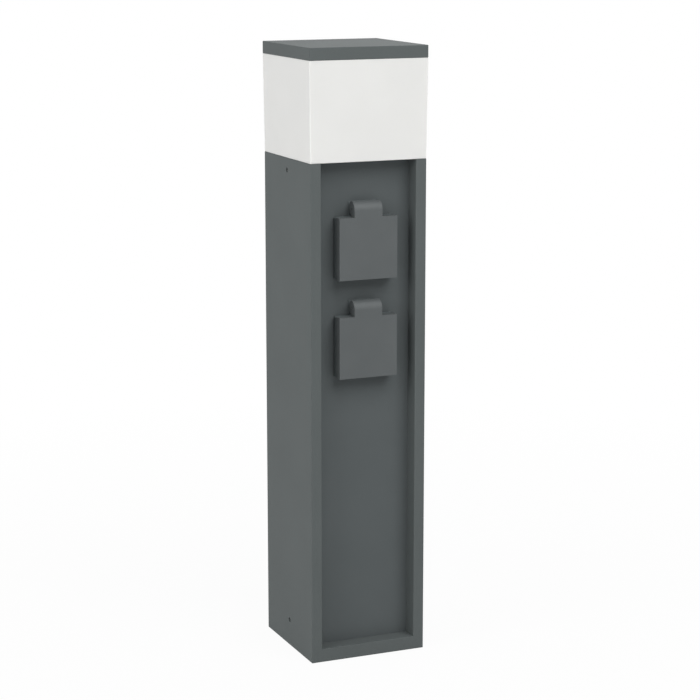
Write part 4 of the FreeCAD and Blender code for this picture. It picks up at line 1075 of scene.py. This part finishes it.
def screw_head(head_radius, shank_radius, height, length, cross):
    """A countersunk screw with a cross recess in its domed head, its head at the origin facing -Y."""
    shape = sheet(cross, cross, (-CROSS_SLOT, CROSS_SLOT), (-CROSS_SLOT, CROSS_SLOT))
    arms = [f for f in shape.faces if min(abs(c) for c in f.calc_center_median().xy) > CROSS_SLOT]
    bmesh.ops.delete(shape, geom=arms, context="FACES")
    recess = [e for e in shape.edges if e.is_boundary]
    bottom = shape.verts[:]
    loop = hoop(shape, HEAD_CROWN * head_radius, SCREW_SIDES, Z_AXIS, (0, 0, 0))
    wall = grow_edges(shape, recess, (0, 0, 0))
    bmesh.ops.triangle_fill(shape, edges=wall + loop)
    bmesh.ops.translate(shape, vec=(0, 0, -CROSS_DEPTH), verts=bottom)
    bmesh.ops.scale(shape, vec=(CROSS_TAPER, CROSS_TAPER, 1), verts=bottom)
    # the dome's edge, the countersunk cone and the shank
    for radius, z in (
        (head_radius - 2 * DOME_STEP, -DOME_STEP),
        (head_radius, -3 * DOME_STEP),
        (shank_radius, -height),
        (shank_radius, -length),
    ):
        loop = grow_loop(shape, loop, level_ring(radius, z))
    bmesh.ops.contextual_create(shape, geom=loop)
    close_up(shape)
    turn(shape, 90, X_AXIS)
    return shape


def flange_screws_shape():
    """The four screws that hold the flange, each in its seat."""
    screws = []
    for x in (-SCREW_HALF, SCREW_HALF):
        for z in (-SCREW_HALF, SCREW_HALF):
            screw = screw_head(
                head_radius=2.9, shank_radius=SHANK_RADIUS, height=1.7, length=10.0, cross=1.7
            )
            move(screw, x, FLANGE_FRONT, z)
            screws.append(screw)
    return together(screws)


def centre_screw_shape():
    """The screw in the middle of the well's floor."""
    screw = screw_head(head_radius=CENTRE_HEAD, shank_radius=1.6, height=1.9, length=12.0, cross=1.85)
    move(screw, 0, WELL_FLOOR, 0)
    return screw


def grub_screw():
    """A grub screw with a key socket, its end at the origin facing +X."""
    shape = bmesh.new()
    socket = hoop(shape, KEY_SOCKET / math.sqrt(3), 6, Z_AXIS, (0, 0, 0))
    loop = hoop(shape, SIDE_SCREW - SIDE_SCREW_CHAMFER, SCREW_SIDES, Z_AXIS, (0, 0, 0))
    bmesh.ops.triangle_fill(shape, edges=socket + loop)
    floor_edges = grow_edges(shape, socket, (0, 0, -KEY_SOCKET_DEPTH))
    bmesh.ops.contextual_create(shape, geom=floor_edges)
    # the far end is a cone
    for radius, z in (
        (SIDE_SCREW, -SIDE_SCREW_CHAMFER),
        (SIDE_SCREW, SIDE_SCREW_CONE - SIDE_SCREW_LENGTH),
        (SIDE_SCREW - SIDE_SCREW_CONE, -SIDE_SCREW_LENGTH),
    ):
        loop = grow_loop(shape, loop, level_ring(radius, z))
    bmesh.ops.contextual_create(shape, geom=loop)
    close_up(shape)
    turn(shape, 90, Y_AXIS)
    return shape


def side_screws_shape():
    """The grub screws in the column's two sides, each a little below the face."""
    screws = []
    for height in SIDE_SCREW_HEIGHTS:
        screw = grub_screw()
        move(screw, HALF - SIDE_SCREW_SINK, 0, height)
        screws += [mirrored(screw, X_AXIS), screw]
    return together(screws)


# Column

def hollow_stack(shape, levels, solid):
    """A closed shape from a cut sheet: its cells are stacked through levels, and only the faces
    between solid and air stay."""
    cells = shape.faces[:]
    for low, high in zip(levels, levels[1:]):
        edges = edges_round(cells)
        copied = bmesh.ops.duplicate(shape, geom=corners_of(cells) + edges + cells)["geom"]
        bmesh.ops.translate(shape, vec=(0, 0, high - low), verts=verts_in(copied))
        grow_edges(shape, edges, (0, 0, high - low))
        cells = faces_in(copied)
    bmesh.ops.remove_doubles(shape, verts=shape.verts, dist=CLOSE)
    shape.normal_update()
    inside = []
    for face in shape.faces:
        middle = face.calc_center_median()
        if solid(middle + PROBE * face.normal) == solid(middle - PROBE * face.normal):
            inside.append(face)
    bmesh.ops.delete(shape, geom=inside, context="FACES")
    # the edges between level faces go one by one in a steady order, so that each run draws the same mesh
    level = [e for e in shape.edges if len(e.link_faces) == 2 and e.calc_face_angle() < LEVEL_ANGLE]
    level.sort(key=lambda e: [round(c, 1) for c in e.verts[0].co + e.verts[1].co])
    bmesh.ops.dissolve_edges(shape, edges=level, use_verts=True)
    close_up(shape)


def in_column(point):
    """True in the column's walls, hollow rims, guide ribs and sill."""
    x, y, z = abs(point.x), point.y, point.z
    if x > HALF or abs(y) > HALF or z < 0 or z > COLUMN_TOP:
        return False
    if x > INNER_HALF or y > INNER_HALF:
        return True
    if y < -INNER_HALF:
        return x > RECESS_HALF or z < SILL_TOP
    if RECESS_HALF < x < JAMB_BACK and y < PANEL_FRONT:
        return True
    if x > GUIDE_EDGE and GUIDE_FRONT < y < GUIDE_BACK:
        return True
    return y < GUIDE_BACK and LEDGE_BOTTOM < z < SILL_TOP


def side_hole(shape, side, height):
    """A round hole for a side screw in the column's outer face."""
    centre = Vector((side * HALF, 0, height))

    def outer_faces():
        return [f for f in shape.faces if abs(f.calc_center_median().x - centre.x) < CLOSE]

    for axis in (Y_AXIS, Z_AXIS):
        for offset in (-SIDE_HOLE_WINDOW, SIDE_HOLE_WINDOW):
            flat = outer_faces()
            cut(shape, flat + edges_round(flat) + corners_of(flat), axis, centre.dot(axis) + offset)
    window = min(outer_faces(), key=lambda f: (f.calc_center_median() - centre).length)
    outline = window.edges[:]
    bmesh.ops.delete(shape, geom=[window], context="FACES_ONLY")
    loop = hoop(shape, SIDE_SCREW + SIDE_HOLE_GAP, SCREW_SIDES, X_AXIS, centre)
    bmesh.ops.triangle_fill(shape, edges=outline + loop)
    deep = grow_edges(shape, loop, (-side * SIDE_HOLE_DEPTH, 0, 0))
    bmesh.ops.contextual_create(shape, geom=deep)


def column_shape():
    """The extruded column: square, with deburred edges, a recess between two rims, and a sill."""
    cuts = (RECESS_HALF, JAMB_BACK, GUIDE_EDGE, INNER_HALF)
    shape = sheet(
        HALF,
        HALF,
        [-c for c in cuts] + list(cuts),
        (-INNER_HALF, PANEL_FRONT, GUIDE_FRONT, GUIDE_BACK, INNER_HALF),
    )
    hollow_stack(shape, (0, LEDGE_BOTTOM, SILL_TOP, COLUMN_TOP), in_column)
    upright = [e for e in shape.edges if all(on_column_corner(v.co) for v in e.verts)]
    round_edges(shape, upright, COLUMN_EDGE, 4)
    lip = [
        e
        for e in shape.edges
        if e.calc_face_angle(0) > 1
        and all(on_recess_lip(v.co) for v in e.verts)
        and not all(v.co.z > COLUMN_TOP - CLOSE for v in e.verts)
    ]
    round_edges(shape, lip, RECESS_EDGE, 3)
    close_up(shape)
    for side in (-1, 1):
        for height in SIDE_SCREW_HEIGHTS:
            side_hole(shape, side, height)
    close_up(shape)
    return shape


def on_column_corner(point):
    """True on the column's four upright edges."""
    return abs(abs(point.x) - HALF) < CLOSE and abs(abs(point.y) - HALF) < CLOSE


def on_recess_lip(point):
    """True on the front edges of the recess's two sides and of its sill."""
    front = abs(point.y + HALF) < CLOSE
    return front and abs(point.x) < RECESS_HALF + CLOSE and point.z > SILL_TOP - CLOSE


# Lantern and cap

def diffuser_shape():
    """The opal lantern body: four walls that lean out a little, with fine round corners, and a ledge
    inside at the foot."""
    shape = sheet(DIFFUSER_FOOT, DIFFUSER_FOOT)
    bmesh.ops.bevel(
        shape,
        geom=shape.verts[:],
        offset=DIFFUSER_CORNER,
        segments=8,
        profile=0.5,
        affect="VERTICES",
        material=-1,
    )
    move(shape, 0, 0, COLUMN_TOP)
    outline = [e for e in shape.edges if e.is_boundary]
    bmesh.ops.delete(shape, geom=shape.faces[:], context="FACES_ONLY")
    loop = outline
    for half, z in (
        (CAP_HALF, CAP_BOTTOM),
        (CAP_HALF - DIFFUSER_WALL, CAP_BOTTOM),
        (DIFFUSER_FOOT - DIFFUSER_WALL, COLUMN_TOP + DIFFUSER_LEDGE),
        (DIFFUSER_FOOT - DIFFUSER_LEDGE, COLUMN_TOP + DIFFUSER_LEDGE),
        (DIFFUSER_FOOT - DIFFUSER_LEDGE, COLUMN_TOP + LEDGE_UNDERSIDE),
        (DIFFUSER_FOOT - DIFFUSER_WALL, COLUMN_TOP + LEDGE_UNDERSIDE),
        (DIFFUSER_FOOT - DIFFUSER_WALL, COLUMN_TOP),
    ):
        size = max(v.co.x for v in corners_of(loop))
        loop = grow_loop(shape, loop, level_share(half / size, z))
    bmesh.ops.bridge_loops(shape, edges=outline + loop)
    close_up(shape)
    soften(shape, FINE_EDGE, 3)
    return shape


def cap_shape():
    """The flat cap: a plate with fine round edges, hollow underneath behind its skirt."""
    shape = sheet(CAP_HALF, CAP_HALF)
    move(shape, 0, 0, CAP_TOP)
    loop = shape.edges[:]
    for share, z in ((1, CAP_BOTTOM), (1 - CAP_SKIRT / CAP_HALF, CAP_BOTTOM), (1, CAP_TOP - CAP_SKIRT)):
        loop = grow_loop(shape, loop, level_share(share, z))
    bmesh.ops.contextual_create(shape, geom=loop)
    close_up(shape)
    soften(shape, CAP_EDGE, 4, lambda p: max(abs(p.x), abs(p.y)) > CAP_HALF - CLOSE)
    return shape


# The pieces: each outlet's, and then the post's own

for level, height in OUTLET_HEIGHTS.items():
    for name, shape, slot, body, node in (
        ("lid_piece", lid_shape(), "lid_plastic", level + "_lid", "lid"),
        ("lid_seal_piece", lid_seal_shape(), "seal_rubber", level + "_lid", "lid_seal"),
        ("outlet_piece", outlet_shape(), "flange_plastic", "post", "outlet_body"),
        ("spring_pieces", springs_shape(), "stainless_steel", "post", "lid_springs"),
        ("flange_screw_pieces", flange_screws_shape(), "stainless_steel", "post", "flange_screws"),
        ("centre_screw_piece", centre_screw_shape(), "zinc_steel", "post", "centre_screw"),
        ("insert_piece", insert_shape(), "well_plastic", "post", "outlet_insert"),
        ("earth_clip_piece", earth_clip_shape(), "tinned_metal", "post", "earth_clip"),
        ("pin_piece", hinge_pin_shape(), "stainless_steel", "post", "hinge_pin"),
    ):
        move(shape, 0, 0, height)
        piece(level + "_" + name, shape, slot, body, level + "_" + node)

piece("side_screw_pieces", side_screws_shape(), "stainless_steel", "post", "side_screws")
piece("column_piece", column_shape(), "post_coat", "post", "column_shell")
piece("diffuser_piece", diffuser_shape(), "opal_plastic", "post", "diffuser")
piece("cap_piece", cap_shape(), "cap_coat", "post", "top_cap")
